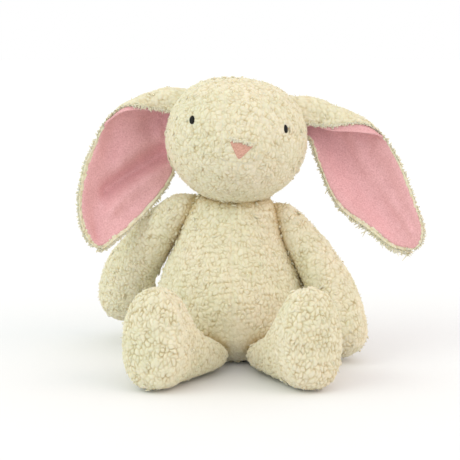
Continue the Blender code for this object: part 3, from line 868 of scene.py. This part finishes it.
def split(covers, points, quads, colours, owner, vertex_owner, tufts):
    """One piece for each cover, with the tufts whose roots are on it."""
    step = 5  # every fifth point is near enough
    tree = point_tree(points[::step])
    root_owner = np.array([vertex_owner[step * tree.find(root)[1]] for root in tufts[2]])
    pieces = []
    for number, node in enumerate(covers):
        used, packed = packed_quads(quads[owner == number])
        mine = [array[root_owner == number] for array in tufts]
        pieces.append(with_tufts(node + "_pile", (points[used], packed, colours[used]), mine))
    return pieces


def with_tufts(name, sheet, tufts):
    """A piece made of a pile surface and the tufts on it."""
    points, quads, colours = sheet
    tuft_points, tuft_colours, _ = tufts
    starts = len(points) + np.arange(len(tuft_points))[:, None, None] * tuft_points.shape[1]
    faces = np.concatenate([quads, (tuft_quads()[None] + starts).reshape(-1, 4)])
    points = np.concatenate([points, tuft_points.reshape(-1, 3)])
    points[:, 2] = np.maximum(points[:, 2], FLOOR_GAP)
    colours = np.concatenate([colours, tuft_colours.reshape(-1, 4)])
    return object_of(name, mesh_of(name, points, faces, colours))


# ---------------------------------------------------------------- materials


class Surface:
    """A material made of nodes, which lie in the object's own coordinates."""

    def __init__(self, name):
        self.material = bpy.data.materials.new(name)
        self.material.use_nodes = True
        self.tree = self.material.node_tree
        self.shader = self.tree.nodes["Principled BSDF"]
        self.place = self.tree.nodes.new("ShaderNodeTexCoord").outputs["Object"]

    def feed(self, node, inputs):
        """Sets a node's inputs, or links them to other nodes' outputs."""
        for name, value in inputs.items():
            socket = node.inputs[name.replace("_", " ")]
            if isinstance(value, bpy.types.NodeSocket):
                self.tree.links.new(value, socket)
            else:
                socket.default_value = value

    def add(self, kind, settings=None, **inputs):
        """A new node with its settings and inputs."""
        node = self.tree.nodes.new(kind)
        for name, value in (settings or {}).items():
            setattr(node, name, value)
        self.feed(node, inputs)
        return node

    def noise(self, scale, detail, **inputs):
        """Noise of a scale per metre."""
        node = self.add("ShaderNodeTexNoise", Vector=self.place, Scale=scale, Detail=detail, **inputs)
        return node.outputs["Fac"]

    def ramp(self, source, *stops):
        """Colours through (place, colour) stops."""
        node = self.add("ShaderNodeValToRGB", Fac=source)
        elements = node.color_ramp.elements
        while len(elements) < len(stops):
            elements.new(0.5)
        for element, (place, colour) in zip(elements, stops):
            element.position = place
            element.color = (*colour, 1)
        return node.outputs["Color"]

    def product(self, first, second, share=1):
        """A colour multiplied by a share of another."""
        kind = {"data_type": "RGBA", "blend_type": "MULTIPLY"}
        return self.add("ShaderNodeMix", kind, Factor=share, A=first, B=second).outputs["Result"]

    def finished(self, colour, grain, bump, roughness, **inputs):
        """The material; a grain gives its bump (strength, distance) and roughness (least, most)."""
        relief = self.add("ShaderNodeBump", Height=grain, Strength=bump[0], Distance=bump[1])
        rough = self.add("ShaderNodeMapRange", Value=grain, To_Min=roughness[0], To_Max=roughness[1])
        inputs["Base Color"] = colour
        inputs["Normal"] = relief.outputs["Normal"]
        inputs["Roughness"] = rough.outputs["Result"]
        self.feed(self.shader, inputs)
        return self.material


def pile_material():
    """Curly cream pile with fine fibres: yellow-brown painted shade in the grooves between the curls, pale
    at their tips, and darker, yellower painted shade where another part touches.
    """
    surface = Surface("curly_pile")
    pile = surface.add("ShaderNodeAttribute", {"attribute_name": "pile"})
    layers = surface.add("ShaderNodeSeparateColor", Color=pile.outputs["Color"]).outputs
    # height in the pile to colour: painted shade, darker and yellow-brown, low in the grooves between the
    # curls
    height = surface.ramp(
        layers["Red"],
        (0.2, (0.52, 0.42, 0.25)),
        (0.5, (0.65, 0.575, 0.395)),
        (0.8, (0.735, 0.69, 0.53)),
        (1.0, (0.76, 0.72, 0.58)),
    )
    patches = surface.ramp(surface.noise(22.0, 3.0), (0.3, (0.95, 0.97, 0.92)), (0.7, (1.03, 1.0, 1.0)))
    own = surface.ramp(layers["Green"], (0.0, (0.95, 0.95, 0.93)), (1.0, (1.03, 1.03, 1.03)))
    colour = surface.product(surface.product(height, patches), own)
    # painted shade, darker and yellower, where another part touches
    colour = surface.product(colour, CONTACT_SHADE, layers["Blue"])
    return surface.finished(
        colour,
        surface.noise(1500.0, 2.0, Distortion=1.5),
        (0.35, 0.0004),
        (0.85, 1.0),
        Specular_IOR_Level=0.05,
        Sheen_Weight=0.08,
        Sheen_Roughness=0.5,
        Sheen_Tint=(1.0, 0.97, 0.88, 1),
        Subsurface_Weight=0.25,
        Subsurface_Radius=(1.0, 0.75, 0.45),
        Subsurface_Scale=0.0015,
    )


def lining_material():
    """Short smooth pink plush with a fine mottled nap."""
    surface = Surface("pink_plush")
    nap = surface.noise(900.0, 3.0, Roughness=0.7)
    fine = surface.ramp(nap, (0.3, (0.62, 0.31, 0.315)), (0.72, (0.85, 0.51, 0.53)))
    brushed = surface.ramp(surface.noise(60.0, 4.0), (0.3, (0.95, 0.93, 0.93)), (0.7, (1.03, 1.03, 1.04)))
    return surface.finished(
        surface.product(fine, brushed),
        nap,
        (0.4, 0.0003),
        (0.75, 0.95),
        Specular_IOR_Level=0.2,
        Sheen_Weight=0.35,
        Sheen_Roughness=0.4,
        Sheen_Tint=(1.0, 0.86, 0.88, 1),
    )


def thread_material(name, dark, light, scale, roughness):
    """Stitched thread, with its strands a little lighter and darker."""
    surface = Surface(name)
    threads = surface.noise(scale, 3.0)
    colour = surface.ramp(threads, (0.3, dark), (0.7, light))
    bump, rough = (0.3, 0.0002), (roughness - 0.1, roughness + 0.1)
    return surface.finished(colour, threads, bump, rough, Specular_IOR_Level=0.25)


# ---------------------------------------------------------------- ears


def ear_surface(side, stations, rows, columns):
    """The surface between the ear's two fabrics: rows from root to tip, columns from inner edge to lip."""
    flat = [(*inner, *outer, lip, cup) for inner, outer, lip, cup in stations]
    forward = np.array((0, -1, 0))
    sheet = np.zeros((rows, columns, 3))
    for row, values in enumerate(resampled(flat, rows)):
        position = row / (rows - 1)
        values = values * MM
        inner, outer = values[0:3], values[3:6]
        lip, cup = max(values[6], EAR_LEAST_LIP), values[7]
        into_head = unit(HEAD_MIDDLE * MM - (inner + outer) / 2) * EAR_ROOT_DEPTH
        into_head = into_head * (1 - float(smoothstep(0, 0.09, position)))
        middle = (inner + outer) / 2
        narrow = math.sqrt(max(1 - max((position - 0.93) / 0.07, 0) ** 2, 0.0009))
        inner = middle + (inner - middle) * narrow
        outer = middle + (outer - middle) * narrow
        lip *= narrow
        rise = unit(outer - inner)
        fold = min(lip, math.pi * EAR_FOLD_RADIUS)
        top = outer - rise * EAR_FOLD_RADIUS * min(fold / (0.5 * math.pi * EAR_FOLD_RADIUS), 1) * narrow
        blade = np.linalg.norm(top - inner)
        lip += hem_height(side, position)
        for column in range(columns):
            run = (blade + lip) * column / (columns - 1)
            if run <= blade:
                t = run / blade
                point = inner + (top - inner) * t - forward * 4 * t * (1 - t) * cup
            else:
                run -= blade
                bend = min(run / EAR_FOLD_RADIUS, math.pi)
                straight = max(run - math.pi * EAR_FOLD_RADIUS, 0)
                point = top + rise * EAR_FOLD_RADIUS * math.sin(bend)
                point = point + forward * EAR_FOLD_RADIUS * (1 - math.cos(bend)) - rise * straight
            sheet[row, column] = point + into_head
    return sheet


def hem_height(side, position):
    """Height of the turned hem of an ear at a row, where the lining shows below the pile of the lip."""
    first, last, height = EAR_HEMS[side]
    share = np.clip((position - first) / (last - first), 0, 1)
    return height * MM * np.sin(math.pi * share**1.7) ** 0.7


def fold_relief(side, rows, columns):
    """Forward displacement of the blade by its ridges and valleys."""
    u, v = np.meshgrid(np.linspace(0, 1, rows), np.linspace(0, 1, columns), indexing="ij")
    place = np.stack([u, v], axis=-1) * BLADE_SIZE
    total = np.zeros((rows, columns))
    for u0, v0, u1, v1, width, height in EAR_FOLDS[side]:
        start = np.array((u0, v0)) * BLADE_SIZE
        way = np.array((u1, v1)) * BLADE_SIZE - start
        t = np.clip(((place - start) @ way) / (way @ way), 0, 1)
        away = np.linalg.norm(place - start - t[..., None] * way, axis=-1)
        total += height * MM * np.exp(-((away / width) ** 2))
    return total * smoothstep(0.03, 0.15, u) * smoothstep(1.0, 0.85, u)


def grid_normals(sheet):
    """Unit normals of a grid of points."""
    along = np.gradient(sheet, axis=0)
    across = np.gradient(sheet, axis=1)
    return unit(np.cross(along, across))


def grid_quads(rows, columns):
    """Quads of a grid."""
    index = np.arange(rows * columns).reshape(rows, columns)
    corners = [index[:-1, :-1], index[:-1, 1:], index[1:, 1:], index[1:, :-1]]
    return np.stack(corners, axis=-1).reshape(-1, 4)


def distance_to(points, others):
    """Distance from each point to the nearest of some others."""
    tree = point_tree(others)
    return np.array([tree.find(point)[2] for point in points])


def blurred(sheet, rounds):
    """Evens out a grid along both directions, keeping its border."""
    for _ in range(rounds):
        inner = (sheet[:-2, 1:-1] + sheet[2:, 1:-1] + sheet[1:-1, :-2] + sheet[1:-1, 2:]) / 4
        sheet = sheet.copy()
        sheet[1:-1, 1:-1] = inner
    return sheet


def border_of(quads, count):
    """Edges used by only one quad, in that quad's direction."""
    edges = np.concatenate([quads[:, [k, (k + 1) % 4]] for k in range(4)])
    codes = edges[:, 0] * count + edges[:, 1]
    back = edges[:, 1] * count + edges[:, 0]
    return edges[~np.isin(codes, back)]


def closed_sheet(quads, count):
    """Faces of a sheet whose outer side is the points and whose other side is as many points more."""
    rim = border_of(quads, count)
    walls = np.stack([rim[:, 1], rim[:, 0], rim[:, 0] + count, rim[:, 1] + count], axis=1)
    return np.concatenate([quads, quads[:, ::-1] + count, walls])


def packed_quads(quads):
    """The numbers of the points that some quads use, and the quads in terms of only those points."""
    used, packed = np.unique(quads, return_inverse=True)
    return used, packed.reshape(-1, 4)


def ear_sheet(side, stations):
    """The ear's middle surface, with each point's row and its distances from the borders."""
    rows = int(165 * MM / EAR_CELL)
    columns = int(90 * MM / EAR_CELL)
    flip = -1 if side == "left" else 1
    grid = blurred(ear_surface(side, stations, rows, columns), 6)
    away = grid_normals(grid) * flip
    grid = blurred(grid - away * fold_relief(side, rows, columns)[..., None], 4)
    points = grid.reshape(-1, 3)
    row = np.repeat(np.linspace(0, 1, rows), columns)
    from_lip = (np.linalg.norm(np.diff(grid, axis=1), axis=2)[:, ::-1].cumsum(axis=1))[:, ::-1]
    return SimpleNamespace(
        side=side,
        flip=flip,
        points=points,
        normals=(grid_normals(grid) * flip).reshape(-1, 3),
        quads=grid_quads(rows, columns)[:, ::-flip],
        row=row,
        to_inner=distance_to(points, grid[:, 0]),
        to_lip=distance_to(points, grid[:, -1]),
        to_tip=distance_to(points, grid[-1]),
        above_hem=np.concatenate([from_lip, np.zeros((rows, 1))], axis=1).ravel() - hem_height(side, row),
    )


def ear_outer(ear, seed):
    """The curly outer fabric of an ear, which ends above the turned hem, with its fringe."""
    used, quads = packed_quads(ear.quads[(ear.above_hem >= -1e-6)[ear.quads].all(axis=1)])
    count = len(used)
    sheet, normals, row = ear.points[used], ear.normals[used], ear.row[used]
    border = border_of(quads, count)
    depth = distance_to(sheet, sheet[np.unique(border)])
    thick = EAR_PILE * 0.6 * rounding(depth, EAR_PILE)
    front = 0.25 * MM * rounding(depth, 1.2 * MM)
    points = np.concatenate([sheet + normals * thick[:, None], sheet - normals * front[:, None]])
    directions = np.concatenate([normals, -normals])
    amount = np.concatenate([np.ones(count), EAR_RIM_RELIEF * (depth < EAR_RIM_WIDTH)])
    faces = closed_sheet(quads, count)
    droop = (-0.4 * ear.flip, 0, -1)
    points, colours, fat = piled(points, directions, faces, seed, amount, np.zeros(2 * count), droop=droop)
    rng = np.random.default_rng(seed + 7)
    fat.chance[fat.roots >= count] = np.nan  # which gives no tufts on the side that faces the lining
    longer = (ear.side == "left") * smoothstep(0.35, 0.6, row) * (ear.to_inner[used] < 2 * MM)
    free, fuzz = fat.tufts(TUFT_SHARE, rng), fat.fuzz(rng)
    tufts = together(free, fuzz, ear_fringe(sheet, normals, border, row, longer, rng))
    return with_tufts("ear_%s_outer_pile" % ear.side, (points, faces, colours), tufts)


def rounding(depth, radius):
    """Height of a quarter-round edge at some depth from the border, as a share of its radius."""
    return np.sqrt(1 - (1 - np.clip(depth / radius, 0, 1)) ** 2)


def ear_lining(ear, seed):
    """The smooth lining of an ear: a thin closed sheet inside the rim, and over the turned hem."""
    near_root, along_inner, along_outer = EAR_RIMS[ear.side]
    inner_rim = near_root + (along_inner - near_root) * smoothstep(0.3, 0.6, ear.row)
    outer_rim = along_outer * smoothstep(0.0, 0.06, ear.row - EAR_HEMS[ear.side][1])
    tip_rim = (along_inner + along_outer) / 2
    slack = np.minimum(np.minimum(ear.to_inner - inner_rim, ear.to_tip - tip_rim), ear.to_lip - outer_rim)
    used, quads = packed_quads(ear.quads[(slack >= 0)[ear.quads].all(axis=1)])
    sheet, normals = ear.points[used], ear.normals[used]
    has_hem = hem_height(ear.side, ear.row[used]) > 0.2 * MM
    in_hem = smoothstep(-1.2 * MM, 0.6 * MM, -ear.above_hem[used]) * has_hem
    proud = (0.15 + 0.85 * smoothstep(0, 1.6 * MM, slack[used])) * LINING_PROUD
    nap = value_noise(sheet, 9 * MM, seed + 3) * 0.12 * MM
    back = sheet - normals * (proud - LINING_THICKNESS * (0.5 + 1.2 * in_hem))[:, None]
    face = sheet - normals * (proud + LINING_THICKNESS * 0.5 + nap)[:, None]
    name = "ear_%s_lining_plush" % ear.side
    return object_of(name, mesh_of(name, np.concatenate([back, face]), closed_sheet(quads, len(used))))


def ear_fringe(points, normals, rim, row, longer, rng):
    """Tufts of pile that stand out round the border of an ear."""
    rim = rim[row[rim[:, 0]] > 0.05]
    rim = np.repeat(rim, 2, axis=0)
    start, end = points[rim[:, 0]], points[rim[:, 1]]
    along_rim = unit(end - start)
    normal = normals[rim[:, 0]]
    outward = np.cross(along_rim, normal)
    count = len(rim)
    turn = rng.normal(size=count)[:, None] * 0.9
    along = outward * np.cos(turn) + along_rim * np.sin(turn)
    along = unit(along + normal * rng.uniform(0.0, 0.7, count)[:, None])
    side = unit(np.cross(normal, along))
    up = np.cross(along, side)
    start = start - outward * (0.9 * MM) + normal * rng.uniform(0.6, 1.8, count)[:, None] * MM
    length = rng.uniform(1.4, 3.2, count) * MM * (1 + 0.5 * longer[rim[:, 0]])
    bend = rng.normal(size=count) * 160
    lift = rng.normal(size=count) * 0.5 * MM
    tint = rng.uniform(0, 1, count)
    return strands(start, (along, side, up), length, lift, bend, tint, rng, FRINGE_THICKNESS)


# ---------------------------------------------------------------- face


def face_frame(node):
    """Middle of a small face piece, and the directions out of the face, across it and up it."""
    low, high = (np.array(corner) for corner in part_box(node))
    middle = (low + high) / 2
    out = unit((middle - HEAD_MIDDLE * MM) / (HEAD_HALF * MM) ** 2)
    up = unit(np.cross((1, 0, 0), out))
    up = -up if up[2] < 0 else up
    across = unit(np.cross(up, out))
    across = -across if across[0] < 0 else across
    if node in EYES:
        middle = middle + (across * EYES[node][3] + up * EYES[node][4]) * MM
    return skin_point("head", middle, out) + out * FACE_PROUD, out, across, up


def stitched_eye(node):
    """A small dome of satin stitches that run across it."""
    half_width, half_height, lean, _, _ = EYES[node]
    middle, out, across, up = face_frame(node)
    up = unit(up + across * lean)
    rows, columns = 96, 40
    row = np.arange(rows)[:, None]
    u, v = np.linspace(-1, 1, columns)[None, :], np.linspace(-1, 1, rows)[:, None]
    width = np.sqrt(np.maximum(1 - np.abs(v) ** 2.3, 0.0004))
    ragged = 1 + 0.05 * np.sin(row * 2.1) + 0.04 * np.sin(row * 5.3)
    thick = np.sqrt(1 - u * u) * np.sqrt(1 - v * v)
    thread = EYE_THREAD_RELIEF * np.abs(np.sin(math.pi * EYE_THREADS * (v + 1) / 2))
    x = (u * width * half_width * ragged * MM).reshape(-1, 1)
    y = np.repeat(v * half_height * MM, columns, axis=0)
    height = ((EYE_DOME + thread) * thick).reshape(-1, 1)
    points = middle + across * x + up * y + out * height
    deep = points - out * (height + 0.8 * MM)
    quads = grid_quads(rows, columns)[:, ::-1]
    mesh = mesh_of(node, np.concatenate([points, deep]), closed_sheet(quads, len(points)))
    face_out(mesh)
    return object_of(node + "_stitches", mesh)


def nose_outline(columns):
    """The soft triangle of the nose, in the directions across and up, in mm."""
    corners = np.array(NOSE_CORNERS)
    ring = []
    for number in range(3):
        start, end = corners[number], corners[(number + 1) % 3]
        ring += [start + (end - start) * t for t in (0, 0.12, 0.24, 0.36, 0.5, 0.64, 0.76, 0.88)]
    ring = np.array(ring)
    for _ in range(2):
        ring = 0.5 * ring + 0.25 * (np.roll(ring, 1, axis=0) + np.roll(ring, -1, axis=0))
    for _ in range(3):
        ahead = np.roll(ring, -1, axis=0)
        ring = np.stack([0.75 * ring + 0.25 * ahead, 0.25 * ring + 0.75 * ahead], axis=1).reshape(-1, 2)
    return ring[np.linspace(0, len(ring), columns, endpoint=False).astype(int)]


def plush_nose(node):
    """A soft triangle sewn on the muzzle, point down, with a napped and slightly domed face."""
    middle, out, across, up = face_frame(node)
    outline = nose_outline(120)
    centre = outline.mean(axis=0)
    rings = 40
    points = []
    for ring in range(1, rings + 1):
        size = ring / rings
        flat = (centre + (outline - centre) * size) * MM
        height = NOSE_PROUD * (0.35 + 0.65 * math.sqrt(max(1 - size**5, 0)))
        curve = -(flat**2).sum(axis=1) / (2 * NOSE_CURVE)
        points.append(middle + across * flat[:, :1] + up * flat[:, 1:] + out * (height + curve)[:, None])
    points = np.concatenate(points)
    nap = value_noise(points, 0.9 * MM, 71) * 0.10 * MM
    points = points + out * nap[:, None]
    columns = len(outline)
    index = np.arange(rings * columns).reshape(rings, columns)
    turned = np.roll(index, -1, axis=1)
    quads = np.stack([index[:-1], index[1:], turned[1:], turned[:-1]], axis=-1).reshape(-1, 4)
    half = columns // 2
    fan = np.array([[k, k + 1, columns - 2 - k, columns - 1 - k] for k in range(half - 1)])
    quads = np.concatenate([quads, fan])
    both_sides = np.concatenate([points, points - out * NOSE_THICKNESS])
    mesh = mesh_of(node, both_sides, closed_sheet(quads, len(points)))
    face_out(mesh)
    return object_of(node + "_plush", mesh)


def brow_of_nose(rng):
    """Tufts of the pile that fall over the top edge of the nose."""
    middle, out, across, up = face_frame("nose")
    left, right = np.array(NOSE_CORNERS[0]) * MM, np.array(NOSE_CORNERS[1]) * MM
    count = BROW_TUFTS
    t = np.linspace(0.02, 0.98, count) + rng.uniform(-0.02, 0.02, count)
    flat = left + (right - left) * t[:, None]
    start = middle + across * flat[:, :1] + up * (flat[:, 1:] + rng.uniform(0.6, 2.4, (count, 1)) * MM)
    start = start + out * rng.uniform(0.5, 1.4, (count, 1)) * MM
    turn = rng.normal(size=(count, 1)) * 0.8
    along = unit(-up * np.cos(turn) + across * np.sin(turn))
    side = unit(np.cross(out, along))
    normal = np.tile(out, (count, 1))
    length = rng.uniform(1.6, 3.4, count) * MM
    lift = rng.uniform(-0.2, 0.5, count) * MM
    bend = rng.normal(size=count) * 180
    return strands(start, (along, side, normal), length, lift, bend, rng.uniform(0.3, 1, count), rng)


def growth_on_face(points):
    """1 on the pile and 0 where the eyes and the nose are sewn on."""
    keep = np.ones(len(points))
    for node, (half_width, half_height, _, _, _) in EYES.items():
        middle, out, across, up = face_frame(node)
        away = points - middle
        x = away @ across / (half_width * MM)
        z = away @ up / (half_height * MM)
        near = np.abs(away @ out) < FACE_DEPTH
        inside = 1 - smoothstep(0.7, 1.4, np.sqrt(x * x + z * z))
        keep = np.minimum(keep, np.where(near, 1 - inside, 1))
    middle, out, across, up = face_frame("nose")
    away = points - middle
    flat = np.stack([away @ across, away @ up], axis=1) / MM
    edge = np.full(len(points), 1e9)
    corners = np.array(NOSE_CORNERS)
    for number in range(3):
        start, end = corners[number], corners[(number + 1) % 3]
        way = unit(end - start)
        from_start = flat - start
        edge = np.minimum(edge, from_start[:, 0] * way[1] - from_start[:, 1] * way[0])
    inside = smoothstep(-0.3, 1.0, edge)
    near = np.abs(away @ out) < FACE_DEPTH
    return np.minimum(keep, np.where(near, 1 - inside, 1))


# ---------------------------------------------------------------- build

PILE = pile_material()
PINK = lining_material()
BLACK = thread_material("black_thread", (0.002, 0.0025, 0.002), (0.012, 0.012, 0.011), 900.0, 0.6)
SALMON = thread_material("salmon_plush", (0.50, 0.265, 0.20), (0.71, 0.42, 0.335), 1100.0, 0.85)

HELD = {"torso": ("torso_filling", "seat_bean_pouch", "neck_filling")}  # others hold their filling

skins = {}
joints = {joint["name"]: joint for joint in frame["record"]["behaviour"]["joints"]}


def dress(piece, material, slot):
    """Gives a piece its material; slot is not used."""
    piece.data.materials.clear()
    piece.data.materials.append(material)


def bend_from(piece, moving, pivot, along, before, after):
    """Bakes the placement of a piece into its mesh."""
    start, end = pivot - along * before * MM, pivot + along * after * MM
    tuple(start)
    tuple(end)
    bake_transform(piece)


forms = {part: blown_form(part, covers) for part, covers in COVERS.items()}
for number, (part, covers) in enumerate(COVERS.items()):
    growth = growth_on_face if part == "head" else None
    extra = brow_of_nose if part == "head" else None
    pieces = pile_pieces(part, forms[part], covers, 100 + 10 * number, growth, extra)
    hidden = HELD.get(part, (part + "_filling",))
    for piece, node in zip(pieces, covers):
        dress(piece, PILE, "pile")
        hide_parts(node, *hidden)
        hidden = ()
        if part in ("torso", "tail"):
            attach(piece, "torso")
        elif part == "head":
            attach(piece, "head")
        else:
            pivot = Vector(joints[part + "_swing"]["pos_m"])
            low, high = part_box(part + "_filling")
            along = (Vector(low) + Vector(high)) / 2 - pivot
            before, after = (8, 14) if part in ARMS else (14, 10)
            if part in LEGS:
                along.z = 0
            bend_from(piece, part, pivot, along.normalized(), before, after)

for seed, side, stations in ((300, "left", EAR_LEFT), (310, "right", EAR_RIGHT)):
    ear = ear_sheet(side, stations)
    outer, lining = ear_outer(ear, seed), ear_lining(ear, seed)
    dress(outer, PILE, "pile")
    dress(lining, PINK, "lining")
    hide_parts("ear_%s_outer" % side)
    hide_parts("ear_%s_lining" % side)
    pivot = Vector(joints["ear_%s_flop" % side]["pos_m"])
    low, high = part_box("ear_%s_outer" % side)
    along = ((Vector(low) + Vector(high)) / 2 - pivot).normalized()
    for piece in (outer, lining):
        bend_from(piece, "ear_" + side, pivot, along, 4, 16)

face = [(node, stitched_eye(node), BLACK, "eye") for node in EYES]
face.append(("nose", plush_nose("nose"), SALMON, "nose"))
for node, piece, material, slot in face:
    dress(piece, material, slot)
    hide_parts(node)
    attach(piece, "head")

# ---------------------------------------------------------------- studio


def floor_material():
    """Matt white paper."""
    surface = Surface("white_paper")
    tone = surface.ramp(surface.noise(300.0, 2.0), (0.0, (0.835, 0.84, 0.855)), (1.0, (0.85, 0.855, 0.87)))
    surface.feed(surface.shader, {"Base Color": tone, "Roughness": 1.0, "Specular IOR Level": 0.0})
    return surface.material


def add_light(name, place, power, colour):
    """A soft light from afar."""
    light = bpy.data.lights.new(name, "SUN")
    light.angle = math.radians(45)
    light.energy = power
    light.color = colour
    lamp = object_of(name, light)
    lamp.rotation_euler = Vector(place).to_track_quat("Z", "Y").to_euler()


floor_mesh = bpy.data.meshes.new("floor")
floor_mesh.from_pydata([(-6, -6, 0), (6, -6, 0), (6, 6, 0), (-6, 6, 0)], [], [(0, 1, 2, 3)])
floor = object_of("floor", floor_mesh)
floor.data.materials.append(floor_material())
floor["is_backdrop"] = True

scene = bpy.context.scene
world = bpy.data.worlds.new("studio")
world.use_nodes = True
world.node_tree.nodes["Background"].inputs["Color"].default_value = (1.0, 1.0, 1.0, 1)
world.node_tree.nodes["Background"].inputs["Strength"].default_value = 1.0
scene.world = world
scene.view_settings.view_transform = "Standard"
add_light("left_key", (-0.95, -0.45, 0.65), 0.85, (0.86, 1.0, 0.84))
add_light("right_key", (0.95, -0.4, 0.6), 0.75, (1.0, 0.75, 0.63))

camera = bpy.data.cameras.new("camera")
camera.sensor_width = 36
camera.lens = 36 * CAMERA_DISTANCE / VIEW_WIDTH
camera.shift_x, camera.shift_y = CAMERA_SHIFT
viewer = object_of("camera", camera)
looking = Vector((0, math.cos(CAMERA_ELEVATION), -math.sin(CAMERA_ELEVATION)))
viewer.location = CAMERA_TARGET - looking * CAMERA_DISTANCE
viewer.rotation_euler = looking.to_track_quat("-Z", "Y").to_euler()
scene.camera = viewer

boxes = {"cad": cad_box, "visual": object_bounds()}
{name: [[float(v) for v in corner] for corner in box] for name, box in boxes.items()}
